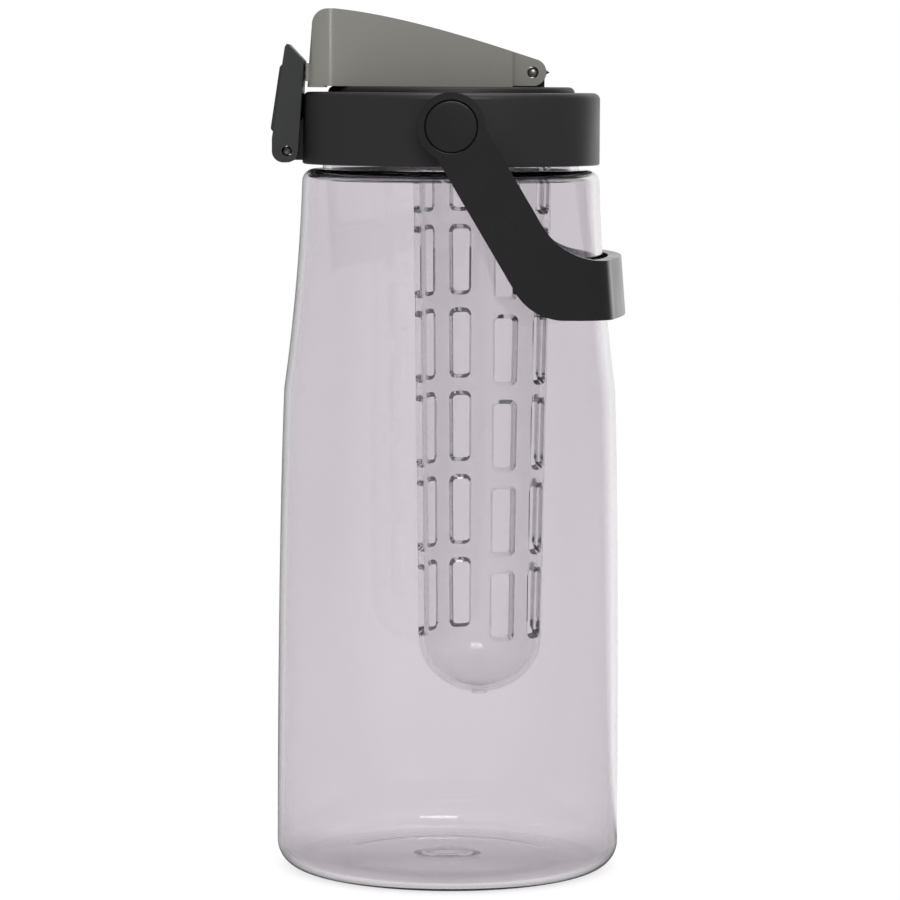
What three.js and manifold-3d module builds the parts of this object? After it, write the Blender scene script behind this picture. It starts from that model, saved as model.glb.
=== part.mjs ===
// A lidded jug with an infuser tube, a flip cap with a latch, and a bail handle.
// Millimetres, +Z up. The jug stands on z = 0 with its axis at the origin, and pours towards -X.
import * as THREE from 'three';
import { mergeVertices } from 'three/addons/utils/BufferGeometryUtils.js';
import Module from 'manifold-3d';

const wasm = await Module();
wasm.setup();

// Facets round a large turned piece, the infuser, a small round, and an arc in an outline
const ROUND = 36;
const TUBE_ROUND = 24;
const SMALL_ROUND = 16;
const ARC_STEPS = 3;

// Fits: between fixed pieces, round pins, beside moving pieces
const FIT = 0.3;
const PIN_FIT = 0.3;
const SWING_FIT = 0.35;

// Neck and its round screw thread
const NECK_RADIUS = 40.6;
const NECK_WALL = 2.6;
const NECK_HEIGHT = 17.1;
const THREAD_PITCH = 6;
const THREAD_DEPTH = 1.3;
const THREAD_CLEARANCE = 0.4;
const THREAD_TURNS = 1;
const THREAD_START = 4.6;

// Jug body, measured outwards from the neck and up from the floor
const SHOULDER_STEP = 6.5;
const SHOULDER_ROUND = 4;
const SHOULDER_HEIGHT = 222.6;
const FLARE_STEP = 5.55;
const FLARE_HEIGHT = 153;
const FLARE_TAPER = 1;
const FLARE_DROP = 1.5;
const BODY_SWELL = 1.85;
const FOOT_ROUND = 8;
const STANDING_RING = 9;
const BODY_WALL = 2.2;
const GATE_LIFT = 4.6;
const GATE_RADIUS = 8;
const GATE_SLOPE = 5;
const DOME_LIFT = 2.6;

// Screw cap inside the lid, and the collar round it
const SKIRT_GAP = 0.4;
const SKIRT_WALL = 1.5;
const COLLAR_AIR = 0.75;
const COLLAR_WALL = 2.5;
const COLLAR_LIFT = 1.1;
const COLLAR_ROUND = 2.2;
const COLLAR_EDGE = 0.6;
const COLLAR_TOP_WALL = 2.2;
const LIP_HEIGHT = 1.4;
const BEAD_HEIGHT = 1.5;
const FLANGE_WALL = 2.1;
const GASKET_HEIGHT = 1.9;
const DECK_RADIUS = 39;
const DECK_RISE = 1.8;
const DECK_WALL = 2.2;
const DECK_ROUND = 0.8;

// Infuser tube with a quarter-turn rim
const TUBE_TOP_RADIUS = 22.3;
const TUBE_FOOT_RADIUS = 19.6;
const TUBE_WALL = 2;
const TUBE_DOME = 17.6;
const TUBE_TOP_BAND = 12.7;
const TUBE_FOOT_BAND = 0.5;
const GATE_NUB_RADIUS = 2.4;
const GATE_NUB_LENGTH = 0.7;
const SLOT_ROWS = 6;
const SLOT_HEIGHT = 22.8;
const SLOT_GAP = 4.1;
const SLOT_WIDTH = 9.6;
const SIDE_SLOT_WIDTH = 6.5;
const SLOT_ROUND = 2.6;
const SLOT_EDGE = 0.7;
const SLOT_TURN = 62;
const LUG_COUNT = 3;
const LUG_ANGLE = 36;
const LUG_DEPTH = 1.6;
const LUG_HEIGHT = 2.5;
const LUG_TURN = 30;
const SOCKET_WALL = 1.6;
const SOCKET_GAP = 2.2;
const SOCKET_ROOM = 2.3;

// Pouring spout and its plug
const SPOUT_HEIGHT = 14;
const SPOUT_WALL = 2;
const SPOUT_HALF_WIDTH = 13;
const SPOUT_MARGIN = 2.2;
const PLUG_RIM = 1.2;
const PLUG_DISC = 3;
const PLUG_DEPTH = 2;
const PLUG_EASE = 0.9;
const STEM_RADIUS = 2.5;
const STEM_LENGTH = 1.8;
const STEM_BOSS_WALL = 2.4;

// Flip cap, measured from its hinge pin
const HINGE_SETBACK = 13.6;
const HINGE_LIFT = 4.6;
const EAR_RADIUS = 4.2;
const EAR_THICKNESS = 3.1;
const EAR_LENGTH = 6.4;
const CAP_HALF_WIDTH = 20;
const CAP_STEP = 1.4;
const CAP_FRONT_ROOM = 6.2;
const CAP_LEAN = 1.5;
const CAP_HEIGHT = 19.5;
const CAP_FRONT_ROUND = 5;
const CAP_CORNER_ROUND = 10;
const CAP_CREST_SETBACK = 8.6;
const CAP_SLOPE = 0.318;
const CAP_SLOPE_LENGTH = 9.2;
const CAP_CREST_SLOPE = 0.09;
const CAP_WALL = 2;
const CATCH_DEPTH = 0.7;
const CATCH_BASE = 3.1;
const CATCH_TOP = 2.5;
const CAP_PIN_RADIUS = 1.5;
const HINGE_LUG_WIDTH = 5.2;
const HINGE_LUG_RADIUS = 3.7;
const HINGE_LUG_FOOT = 9;
const NIB_LENGTH = 1.6;
const NIB_HEIGHT = 2;
const LUG_ROUND_START = 30;
const LUG_ROUND_END = 140;

// Latch, measured from its hinge pin
const LATCH_PIN_OUT = 4.55;
const LATCH_PIN_UP = 4.1;
const LATCH_PIN_RADIUS = 1.3;
const LATCH_HALF_WIDTH = 12;
const LATCH_OUT = 4.7;
const LATCH_FOOT_ROUND = 3.6;
const LATCH_PAD_HEIGHT = 6.9;
const LATCH_PAD_OUT = 5.2;
const LATCH_TIP_HEIGHT = 33.5;
const LATCH_TIP_OUT = 0.4;
const LATCH_STEP_HEIGHT = 27.2;
const LATCH_STEP_OUT = 1.5;
const LATCH_STEP = 0.9;
const LATCH_EDGE = 0.5;
const LATCH_NOSE_HEIGHT = 28.2;
const LATCH_SIDE_WALL = 2.6;
const LATCH_FACE_WALL = 1.4;
const LATCH_POCKET_FLOOR = 5.4;
const LATCH_POCKET_TOP = 18;
const LATCH_KNUCKLE_HALF_WIDTH = 6;
const LATCH_KNUCKLE_RADIUS = 2.9;
const LATCH_WEB_RISE = 14;
const LATCH_PIN_RECESS = 1;

// Handle, measured from its pivot
const PIVOT_RISE = 1.1;
const PIVOT_BOSS_RADIUS = 10;
const PIVOT_BOSS_RISE = 0.85;
const HANDLE_EYE_RADIUS = 10.4;
const HANDLE_ARM_THICKNESS = 5;
const HANDLE_ARM_HALF_WIDTH = 8.7;
const HANDLE_ARM_ANGLE = 59.3;
const HANDLE_BAR_TOP = 40.7;
const HANDLE_BAR_HEIGHT = 18.2;
const HANDLE_INNER_BEND = 21.9;
const HANDLE_OUTER_BEND = 17.6;
const HANDLE_BAR_THICKNESS = 4.2;
const HANDLE_BAR_BOW = 5;
const HANDLE_CORNER = 12;
const HANDLE_LEAN = 4.5;
const HANDLE_REST_GAP = 1.5;
const PIVOT_HEAD_RADIUS = 8.4;
const PIVOT_HEAD_HEIGHT = 1.8;
const PIVOT_SHANK_RADIUS = 4;
const PIVOT_EDGE = 0.4;

// Radii that follow from the neck
const neckInside = NECK_RADIUS - NECK_WALL;
const skirtInside = NECK_RADIUS + THREAD_DEPTH + THREAD_CLEARANCE;
const skirtRadius = skirtInside + SKIRT_WALL;
const collarInside = skirtRadius + COLLAR_AIR;
const collarRadius = collarInside + COLLAR_WALL;
const beadRadius = collarInside - FIT;
const shoulderRadius = NECK_RADIUS + SHOULDER_STEP;
const flareRadius = shoulderRadius + FLARE_STEP;
const bodyRadius = flareRadius + BODY_SWELL;

// Heights in the lid, from the foot of its skirt
const rimHeight = NECK_HEIGHT - SKIRT_GAP;
const ceilingHeight = rimHeight + FIT + GASKET_HEIGHT + FIT;
const flangeTop = ceilingHeight + FLANGE_WALL;
const collarTop = flangeTop + FIT + COLLAR_TOP_WALL;
const deckTop = collarTop + DECK_RISE;
const deckUnderside = deckTop - DECK_WALL;
const hingeHeight = deckTop + HINGE_LIFT;
const hingeX = DECK_RADIUS - HINGE_SETBACK;
const latchPinX = -(collarRadius + LATCH_PIN_OUT);
const latchPinHeight = COLLAR_LIFT + LATCH_PIN_UP;
const pivotHeight = (COLLAR_LIFT + collarTop) / 2 + PIVOT_RISE;
const lidHeight = SHOULDER_HEIGHT + SKIRT_GAP;

// Where the infuser hangs and the spout stands
const lugRadius = TUBE_TOP_RADIUS + LUG_DEPTH;
const socketInside = lugRadius + FIT;
const socketRadius = socketInside + SOCKET_WALL;
const infuserX = neckInside - socketRadius - SOCKET_GAP;
const spoutRoom = neckInside - socketRadius + infuserX;
const spoutBoreLength = spoutRoom / 2 - SPOUT_MARGIN;
const spoutBoreWidth = SPOUT_HALF_WIDTH - SPOUT_WALL;
const spoutLength = spoutBoreLength + SPOUT_WALL;
const spoutX = infuserX - socketRadius - SPOUT_MARGIN - spoutBoreLength;
const spoutTop = deckTop + SPOUT_HEIGHT;
const capFront = hingeX - spoutX + spoutLength + PLUG_RIM + CAP_FRONT_ROOM;
const capCrest = capFront - CAP_CREST_SETBACK;
const tubeTop = deckUnderside - SOCKET_ROOM;
const slotPitch = SLOT_HEIGHT + SLOT_GAP;
const slotRun = SLOT_ROWS * slotPitch - SLOT_GAP;
const tubeLength = TUBE_TOP_BAND + slotRun + TUBE_FOOT_BAND + TUBE_DOME;

// Where the handle's arms and crossbar lie
const armInside = collarRadius + PIVOT_BOSS_RISE + FIT;
const armOutside = armInside + HANDLE_ARM_THICKNESS;

const point = (x, y) => new THREE.Vector2(x, y);
const radians = THREE.MathUtils.degToRad;

// Points along an arc, angles in degrees
function arc(centreX, centreY, radius, from, to, steps = ARC_STEPS) {
  const points = [];
  for (let step = 0; step <= steps; step += 1) {
    const angle = radians(from + ((to - from) * step) / steps);
    points.push(point(centreX + radius * Math.cos(angle), centreY + radius * Math.sin(angle)));
  }
  return points;
}

// Points along a curve that leaves one point towards a control point and arrives at another
function curve(from, control, to, steps = ARC_STEPS) {
  return new THREE.QuadraticBezierCurve(from, control, to).getPoints(steps);
}

// A closed solid from a geometry, turned to face outwards
function solid(geometry) {
  geometry.deleteAttribute('normal');
  geometry.deleteAttribute('uv');
  const merged = mergeVertices(geometry, 1e-4);
  const places = merged.getAttribute('position');
  const corners = [new THREE.Vector3(), new THREE.Vector3(), new THREE.Vector3()];
  const triangles = [];
  let volume = 0;
  for (let start = 0; start < merged.index.count; start += 3) {
    const [a, b, c] = [0, 1, 2].map((offset) => merged.index.getX(start + offset));
    if (a !== b && b !== c && c !== a) {
      triangles.push([a, b, c]);
      [a, b, c].forEach((index, corner) => corners[corner].fromBufferAttribute(places, index));
      volume += corners[0].dot(corners[1].cross(corners[2]));
    }
  }
  if (volume < 0) triangles.forEach((triangle) => triangle.reverse());
  const vertProperties = new Float32Array(places.array);
  const triVerts = new Uint32Array(triangles.flat());
  return new wasm.Manifold(new wasm.Mesh({ numProp: 3, vertProperties, triVerts }));
}

// A piece turned about Z from a profile of radius and height
function turned(profile, facets = ROUND) {
  return solid(new THREE.LatheGeometry(profile, facets).rotateX(Math.PI / 2));
}

// An outline in X and Y raised from one height to another
function raised(outline, bottom, top) {
  const options = { depth: top - bottom, bevelEnabled: false, curveSegments: SMALL_ROUND };
  return solid(new THREE.ExtrudeGeometry(outline, options).translate(0, 0, bottom));
}

// An outline in X and Z carried across from one Y to another
function across(outline, near, far) {
  const options = { depth: far - near, bevelEnabled: false, curveSegments: SMALL_ROUND };
  return solid(new THREE.ExtrudeGeometry(outline, options).rotateX(Math.PI / 2).translate(0, far, 0));
}

// A round bar along Y between two Y values
function bar(x, z, radius, near, far, facets = SMALL_ROUND) {
  const length = far - near;
  const geometry = new THREE.CylinderGeometry(radius, radius, length, facets);
  return solid(geometry.translate(x, (near + far) / 2, z));
}

// A block between two corners
function block(low, high) {
  const size = high.map((value, axis) => value - low[axis]);
  const middle = high.map((value, axis) => (value + low[axis]) / 2);
  return solid(new THREE.BoxGeometry(...size).translate(...middle));
}

// An oval outline in X and Y
function oval(x, halfLength, halfWidth) {
  const shape = new THREE.Shape();
  shape.absellipse(x, 0, halfLength, halfWidth, 0, Math.PI * 2);
  return shape;
}

// A ring sector outline in X and Y, centred on an angle in degrees
function sector(inside, outside, angle, spread) {
  const outer = arc(0, 0, outside, angle - spread / 2, angle + spread / 2);
  const inner = arc(0, 0, inside, angle + spread / 2, angle - spread / 2);
  return new THREE.Shape([...outer, ...inner]);
}

// A round ridge that climbs one pitch a turn
class Helix extends THREE.Curve {
  constructor(radius, start) {
    super();
    this.radius = radius;
    this.start = start;
  }

  getPoint(t, target = new THREE.Vector3()) {
    const angle = t * THREAD_TURNS * Math.PI * 2;
    const height = this.start + t * THREAD_TURNS * THREAD_PITCH;
    return target.set(this.radius * Math.cos(angle), this.radius * Math.sin(angle), height);
  }
}

function ridge(radius, start) {
  const section = new THREE.Shape(arc(0, 0, THREAD_DEPTH, 0, 315, 7));
  const options = { steps: ROUND * THREAD_TURNS, extrudePath: new Helix(radius, start) };
  return solid(new THREE.ExtrudeGeometry(section, options));
}

// Jug profile from the axis under the base to the rim, set in by a wall
function jugProfile(wall, neckRadius) {
  const foot = bodyRadius - FOOT_ROUND;
  const ringInside = foot - STANDING_RING;
  const gateFoot = GATE_RADIUS + GATE_SLOPE;
  const bodyStart = point(bodyRadius - wall, FOOT_ROUND);
  const flareStart = point(flareRadius - wall, FLARE_HEIGHT);
  const shoulderStart = point(shoulderRadius - wall, SHOULDER_HEIGHT - SHOULDER_ROUND);
  const flareMiddle = (FLARE_HEIGHT + SHOULDER_HEIGHT) / 2 - FLARE_DROP;
  const bodyControl = point(bodyRadius - wall, (FOOT_ROUND + 2 * FLARE_HEIGHT) / 3);
  const flareControl = point(shoulderRadius - wall + FLARE_TAPER, flareMiddle);
  const roundX = shoulderRadius - SHOULDER_ROUND;
  const roundZ = SHOULDER_HEIGHT - SHOULDER_ROUND;
  return [
    point(0, GATE_LIFT + wall),
    point(GATE_RADIUS, GATE_LIFT + wall),
    point(gateFoot, DOME_LIFT + wall),
    ...curve(point(gateFoot + 1, DOME_LIFT + wall), point(ringInside - GATE_SLOPE, DOME_LIFT + wall),
      point(ringInside, wall)),
    ...arc(foot, FOOT_ROUND, FOOT_ROUND - wall, -90, 0).slice(0, -1),
    ...curve(bodyStart, bodyControl, flareStart).slice(0, -1),
    ...curve(flareStart, flareControl, shoulderStart, ARC_STEPS + 2).slice(0, -1),
    ...arc(roundX, roundZ, SHOULDER_ROUND - wall, 0, 90),
    point(neckRadius, SHOULDER_HEIGHT - wall),
    point(neckRadius, SHOULDER_HEIGHT + NECK_HEIGHT),
  ];
}

function bottleBody() {
  const outside = jugProfile(0, NECK_RADIUS);
  const inside = jugProfile(BODY_WALL, neckInside);
  const shell = turned([...outside, ...inside.reverse()]);
  return shell.add(ridge(NECK_RADIUS, SHOULDER_HEIGHT + THREAD_START + threadDrop()));
}

// Height from the middle of the cap's ridge to the middle of the neck's ridge above it
function threadDrop() {
  const apart = 2 * THREAD_DEPTH + FIT;
  const sideways = skirtInside - NECK_RADIUS;
  return Math.sqrt(apart * apart - sideways * sideways);
}

function lidGasket() {
  const inside = neckInside + FIT;
  const outside = skirtInside - FIT;
  const edge = GASKET_HEIGHT / 4;
  return turned([
    point(inside + edge, 0),
    point(outside - edge, 0),
    point(outside, edge),
    point(outside, GASKET_HEIGHT - edge),
    point(outside - edge, GASKET_HEIGHT),
    point(inside + edge, GASKET_HEIGHT),
    point(inside, GASKET_HEIGHT - edge),
    point(inside, edge),
    point(inside + edge, 0),
  ]);
}

function lidCollar() {
  const lipTop = COLLAR_LIFT + LIP_HEIGHT;
  const lipInside = skirtRadius + FIT;
  const top = collarTop;
  const ring = turned([
    point(lipInside, COLLAR_LIFT),
    point(collarRadius - COLLAR_EDGE, COLLAR_LIFT),
    point(collarRadius, COLLAR_LIFT + COLLAR_EDGE),
    ...arc(collarRadius - COLLAR_ROUND, top - COLLAR_ROUND, COLLAR_ROUND, 0, 90),
    point(DECK_RADIUS + FIT, top),
    point(DECK_RADIUS + FIT, top - COLLAR_TOP_WALL),
    point(collarInside, top - COLLAR_TOP_WALL),
    point(collarInside, lipTop),
    point(lipInside, lipTop),
    point(lipInside, COLLAR_LIFT),
  ]);
  const bossFace = collarRadius + PIVOT_BOSS_RISE;
  const cut = PIVOT_SHANK_RADIUS + PIN_FIT;
  const inside = turned([
    point(0, lipTop),
    point(collarInside, lipTop),
    point(collarInside, top),
    point(0, top),
  ]);
  const knuckle = latchKnuckle().subtract(inside);
  const bosses = bar(0, pivotHeight, PIVOT_BOSS_RADIUS, -bossFace, bossFace, ROUND).subtract(inside);
  const holes = bar(0, pivotHeight, cut, -bossFace - FIT, bossFace + FIT);
  return ring.add(bosses).add(knuckle).subtract(holes);
}

// The collar's lug between the latch's two ears
function latchKnuckle() {
  const inner = -collarInside;
  const outline = new THREE.Shape([
    point(inner, latchPinHeight - LATCH_KNUCKLE_RADIUS),
    point(inner, latchPinHeight + LATCH_WEB_RISE),
    ...arc(latchPinX, latchPinHeight, LATCH_KNUCKLE_RADIUS, 90, 270, 2 * ARC_STEPS),
  ]);
  const half = LATCH_KNUCKLE_HALF_WIDTH;
  const hole = bar(latchPinX, latchPinHeight, LATCH_PIN_RADIUS + PIN_FIT, -half - FIT, half + FIT);
  return across(outline, -half, half).subtract(hole);
}

function lidInsert() {
  const beadBase = COLLAR_LIFT + LIP_HEIGHT + FIT;
  const cap = turned([
    point(0, deckUnderside),
    point(neckInside - FIT, deckUnderside),
    point(neckInside - FIT, ceilingHeight),
    point(skirtInside, ceilingHeight),
    point(skirtInside, 0),
    point(skirtRadius, 0),
    point(skirtRadius, beadBase),
    point(beadRadius, beadBase),
    point(beadRadius, beadBase + BEAD_HEIGHT),
    point(skirtRadius, beadBase + BEAD_HEIGHT),
    point(skirtRadius, ceilingHeight),
    point(beadRadius, ceilingHeight),
    point(beadRadius, flangeTop),
    point(DECK_RADIUS, flangeTop),
    ...arc(DECK_RADIUS - DECK_ROUND, deckTop - DECK_ROUND, DECK_ROUND, 0, 90, 2),
    point(0, deckTop),
  ]);
  const spout = raised(oval(spoutX, spoutLength, SPOUT_HALF_WIDTH), deckUnderside, spoutTop);
  const bore = raised(oval(spoutX, spoutBoreLength, spoutBoreWidth), deckUnderside - 1, spoutTop + 1);
  const thread = ridge(skirtInside, THREAD_START - SKIRT_GAP);
  return cap.add(thread).add(spout).subtract(bore).add(infuserSocket()).add(hingeLugs());
}

// The ring under the deck whose ledges hold the infuser's lugs
function infuserSocket() {
  const ledgeTop = tubeTop - LUG_HEIGHT - FIT;
  const ledgeBase = ledgeTop - LUG_HEIGHT;
  let socket = turned([
    point(socketInside, ledgeBase),
    point(socketRadius, ledgeBase),
    point(socketRadius, deckUnderside + DECK_WALL / 2),
    point(socketInside, deckUnderside + DECK_WALL / 2),
    point(socketInside, ledgeBase),
  ]);
  for (let lug = 0; lug < LUG_COUNT; lug += 1) {
    const angle = LUG_TURN + (360 * lug) / LUG_COUNT;
    const outline = sector(TUBE_TOP_RADIUS + FIT, socketInside + SOCKET_WALL / 2, angle, LUG_ANGLE);
    socket = socket.add(raised(outline, ledgeBase, ledgeTop));
  }
  return socket.translate([infuserX, 0, 0]);
}

// Two lugs on the deck, inside the cap's ears, each with a pointed stop behind the pin
function hingeLugs() {
  const outer = CAP_HALF_WIDTH - CAP_STEP - EAR_THICKNESS - FIT;
  const inner = outer - HINGE_LUG_WIDTH;
  const foot = deckTop - DECK_WALL / 2 - hingeHeight;
  const reach = HINGE_LUG_RADIUS;
  const outline = new THREE.Shape([
    point(-HINGE_LUG_FOOT, foot),
    point(reach, foot),
    point(reach, -NIB_HEIGHT / 2),
    point(reach + NIB_LENGTH, 0),
    point(reach, NIB_HEIGHT / 2),
    ...arc(0, 0, reach, LUG_ROUND_START, LUG_ROUND_END, 2 * ARC_STEPS),
  ]);
  const hole = bar(0, 0, CAP_PIN_RADIUS + PIN_FIT, -outer - FIT, outer + FIT);
  const pair = across(outline, -outer, -inner).add(across(outline, inner, outer));
  return pair.subtract(hole).translate([hingeX, 0, hingeHeight]);
}

// Infuser profile from the axis at its lowest point to the rim, set in by a wall
function tubeProfile(wall) {
  const dome = TUBE_DOME - tubeLength;
  const radius = TUBE_FOOT_RADIUS - wall;
  const depth = TUBE_DOME - wall;
  const round = arc(0, 0, 1, -90, 0, 2 * ARC_STEPS);
  return [
    ...round.map((place) => point(Math.max(0, place.x * radius), dome + place.y * depth)),
    point(TUBE_TOP_RADIUS - wall, 0),
  ];
}

function infuserTube() {
  let tube = turned([...tubeProfile(0), ...tubeProfile(TUBE_WALL).reverse()], TUBE_ROUND);
  const nubTop = TUBE_WALL / 2 - tubeLength;
  const nubLength = nubTop + tubeLength + GATE_NUB_LENGTH;
  const nub = new THREE.CylinderGeometry(GATE_NUB_RADIUS, GATE_NUB_RADIUS, nubLength, SMALL_ROUND);
  const nubMiddle = (nubTop - tubeLength - GATE_NUB_LENGTH) / 2;
  tube = tube.add(solid(nub.rotateX(Math.PI / 2).translate(0, 0, nubMiddle)));
  for (let lug = 0; lug < LUG_COUNT; lug += 1) {
    const angle = LUG_TURN + (360 * lug) / LUG_COUNT;
    const outline = sector(TUBE_TOP_RADIUS - TUBE_WALL / 2, lugRadius, angle, LUG_ANGLE);
    tube = tube.add(raised(outline, -LUG_HEIGHT, 0));
  }
  return tube.subtract(slots());
}

// Slots cut square to the mould's two pulls: a wide column facing the pull and a narrow one each side
function slots() {
  const sideColumn = TUBE_FOOT_RADIUS - TUBE_WALL - SLOT_EDGE - SIDE_SLOT_WIDTH / 2;
  const reach = lugRadius + FIT;
  const columns = [[-sideColumn, SIDE_SLOT_WIDTH], [0, SLOT_WIDTH], [sideColumn, SIDE_SLOT_WIDTH]];
  let cuts = null;
  for (let row = 0; row < SLOT_ROWS; row += 1) {
    const bottom = -TUBE_TOP_BAND - row * slotPitch - SLOT_HEIGHT;
    for (const [offset, width] of columns) {
      const window = across(windowOutline(offset, bottom, width), -reach, 0);
      for (const turn of [SLOT_TURN, SLOT_TURN + 180]) {
        const cut = window.rotate([0, 0, turn]);
        cuts = cuts ? cuts.add(cut) : cut;
      }
    }
  }
  return cuts;
}

// A rounded upright window outline in X and Z
function windowOutline(middle, bottom, width) {
  const left = middle - width / 2 + SLOT_ROUND;
  const right = middle + width / 2 - SLOT_ROUND;
  const low = bottom + SLOT_ROUND;
  const high = bottom + SLOT_HEIGHT - SLOT_ROUND;
  return new THREE.Shape([
    ...arc(right, low, SLOT_ROUND, -90, 0, 2),
    ...arc(right, high, SLOT_ROUND, 0, 90, 2),
    ...arc(left, high, SLOT_ROUND, 90, 180, 2),
    ...arc(left, low, SLOT_ROUND, 180, 270, 2),
  ]);
}

// Side outline of the flip cap from its hinge, set in by a wall
function capOutline(wall) {
  const tangent = Math.atan(CAP_SLOPE);
  const ear = EAR_RADIUS;
  const slopeEnd = point(ear * Math.sin(tangent), ear * Math.cos(tangent) - wall);
  const slopeStart = point(slopeEnd.x - CAP_SLOPE_LENGTH, slopeEnd.y + CAP_SLOPE_LENGTH * CAP_SLOPE);
  const crest = point(-capCrest, CAP_HEIGHT - wall);
  const rise = crest.y - slopeStart.y - CAP_SLOPE * (slopeStart.x - crest.x);
  const controlX = crest.x - rise / (CAP_SLOPE - CAP_CREST_SLOPE);
  const control = point(controlX, crest.y - CAP_CREST_SLOPE * (controlX - crest.x));
  const top = CAP_HEIGHT - wall;
  const frontTop = -capFront + CAP_LEAN + wall;
  const base = wall > 0 ? -2 * ear : -ear;
  return [
    point(-capFront + wall, base),
    point(slopeEnd.x, base),
    slopeEnd,
    ...curve(slopeStart, control, crest, 2 * ARC_STEPS),
    ...arc(frontTop + CAP_FRONT_ROUND, top - CAP_FRONT_ROUND, CAP_FRONT_ROUND, 90, 180),
  ];
}

// Plan outline of the flip cap's box, set in by a wall
function capPlan(wall, back) {
  const half = CAP_HALF_WIDTH - wall;
  const corner = CAP_CORNER_ROUND - wall;
  const front = -capFront - CATCH_DEPTH + wall;
  return new THREE.Shape([
    point(back, -half),
    point(back, half),
    ...arc(front + corner, half - corner, corner, 90, 180, 2 * ARC_STEPS),
    ...arc(front + corner, corner - half, corner, 180, 270, 2 * ARC_STEPS),
  ]);
}

function flipCap() {
  const earOutside = CAP_HALF_WIDTH - CAP_STEP;
  const earInside = earOutside - EAR_THICKNESS;
  const wide = CAP_HALF_WIDTH + 1;
  const side = across(new THREE.Shape(capOutline(0)), -wide, wide);
  const lipFront = -capFront - CATCH_DEPTH;
  const catchLip = block([lipFront, -wide, -CATCH_BASE], [-capFront + CAP_WALL, wide, CATCH_TOP]);
  const boxPlan = raised(capPlan(0, -EAR_LENGTH), -2 * EAR_RADIUS, CAP_HEIGHT + 1);
  const hollowPlan = capPlan(CAP_WALL + CATCH_DEPTH, -EAR_LENGTH - CAP_WALL);
  const hollow = across(new THREE.Shape(capOutline(CAP_WALL)), -wide, wide)
    .intersect(raised(hollowPlan, -3 * EAR_RADIUS, CAP_HEIGHT));
  const earSlab = side.intersect(block([-EAR_LENGTH - CAP_WALL, -earOutside, -2 * EAR_RADIUS],
    [EAR_RADIUS, earOutside, CAP_HEIGHT]));
  const earEnds = bar(0, 0, EAR_RADIUS, -earOutside, earOutside, ROUND);
  const notch = block([-EAR_LENGTH - CAP_WALL - 1, -earInside, -2 * EAR_RADIUS],
    [2 * EAR_RADIUS, earInside, CAP_HEIGHT]);
  const pinHole = bar(0, 0, CAP_PIN_RADIUS + PIN_FIT, -wide, wide);
  const body = side.add(catchLip).intersect(boxPlan).subtract(hollow);
  return body.add(earSlab.add(earEnds)).subtract(notch).add(plugBoss()).subtract(pinHole);
}

// The tube under the cap's roof that the plug's stem goes up into
function plugBoss() {
  const x = spoutX - hingeX;
  const base = spoutTop + FIT + PLUG_DISC + FIT - hingeHeight;
  const outside = STEM_RADIUS + PIN_FIT + STEM_BOSS_WALL;
  const roof = across(new THREE.Shape(capOutline(CAP_WALL / 2)), -outside, outside);
  const tube = raised(oval(x, outside, outside), base, CAP_HEIGHT).intersect(roof);
  const hollow = STEM_RADIUS + PIN_FIT;
  return tube.subtract(raised(oval(x, hollow, hollow), base - 1, base + STEM_LENGTH + FIT));
}

function spoutPlug() {
  const x = spoutX - hingeX;
  const base = spoutTop + FIT - hingeHeight;
  const disc = raised(oval(x, spoutLength + PLUG_RIM, SPOUT_HALF_WIDTH + PLUG_RIM), base, base + PLUG_DISC);
  const plugLength = spoutBoreLength - PLUG_EASE;
  const plug = raised(oval(x, plugLength, spoutBoreWidth - PLUG_EASE), base - PLUG_DEPTH, base + 1);
  const stemTop = base + PLUG_DISC + STEM_LENGTH;
  const stem = raised(oval(x, STEM_RADIUS, STEM_RADIUS), base + PLUG_DISC - 1, stemTop);
  return disc.add(plug).add(stem);
}

// Side outline of the latch from its pin
function latchOutline() {
  const lip = hingeX - capFront - CATCH_DEPTH;
  const nose = lip - SWING_FIT - latchPinX;
  const heel = LATCH_FOOT_ROUND - LATCH_OUT;
  return new THREE.Shape([
    ...arc(0, 0, LATCH_FOOT_ROUND, -90, 0, 2 * ARC_STEPS),
    point(nose, LATCH_NOSE_HEIGHT - LATCH_EDGE),
    point(nose, LATCH_NOSE_HEIGHT),
    point(LATCH_TIP_OUT, LATCH_TIP_HEIGHT),
    point(-LATCH_TIP_OUT, LATCH_TIP_HEIGHT),
    point(-LATCH_STEP_OUT, LATCH_STEP_HEIGHT),
    point(-LATCH_STEP_OUT - LATCH_STEP, LATCH_STEP_HEIGHT),
    point(-LATCH_PAD_OUT, LATCH_PAD_HEIGHT),
    point(-LATCH_OUT, 0),
    ...arc(heel, 0, LATCH_FOOT_ROUND, 180, 270).slice(1),
  ]);
}

function latch() {
  const half = LATCH_HALF_WIDTH;
  const slotHalf = LATCH_KNUCKLE_HALF_WIDTH + SWING_FIT;
  const pocketHalf = half - LATCH_SIDE_WALL;
  const pocketBack = -LATCH_OUT + LATCH_FACE_WALL;
  const deep = 2 * LATCH_OUT;
  const slot = block([pocketBack, -slotHalf, -deep], [deep, slotHalf, LATCH_POCKET_FLOOR + 1]);
  const pocketLow = [pocketBack + LATCH_FACE_WALL / 2, -pocketHalf, LATCH_POCKET_FLOOR];
  const pocket = block(pocketLow, [deep, pocketHalf, LATCH_POCKET_TOP]);
  const hole = bar(0, 0, LATCH_PIN_RADIUS + PIN_FIT, -half - 1, half + 1);
  return across(latchOutline(), -half, half).subtract(slot).subtract(pocket).subtract(hole);
}

// Outside radius of the jug at a height above its foot
function jugRadius(height) {
  const profile = jugProfile(0, NECK_RADIUS).filter((place) => place.y >= FOOT_ROUND);
  const above = profile.findIndex((place) => place.y > height);
  const [low, high] = [profile[above - 1], profile[above]];
  return low.x + ((high.x - low.x) * (height - low.y)) / (high.y - low.y);
}

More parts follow.
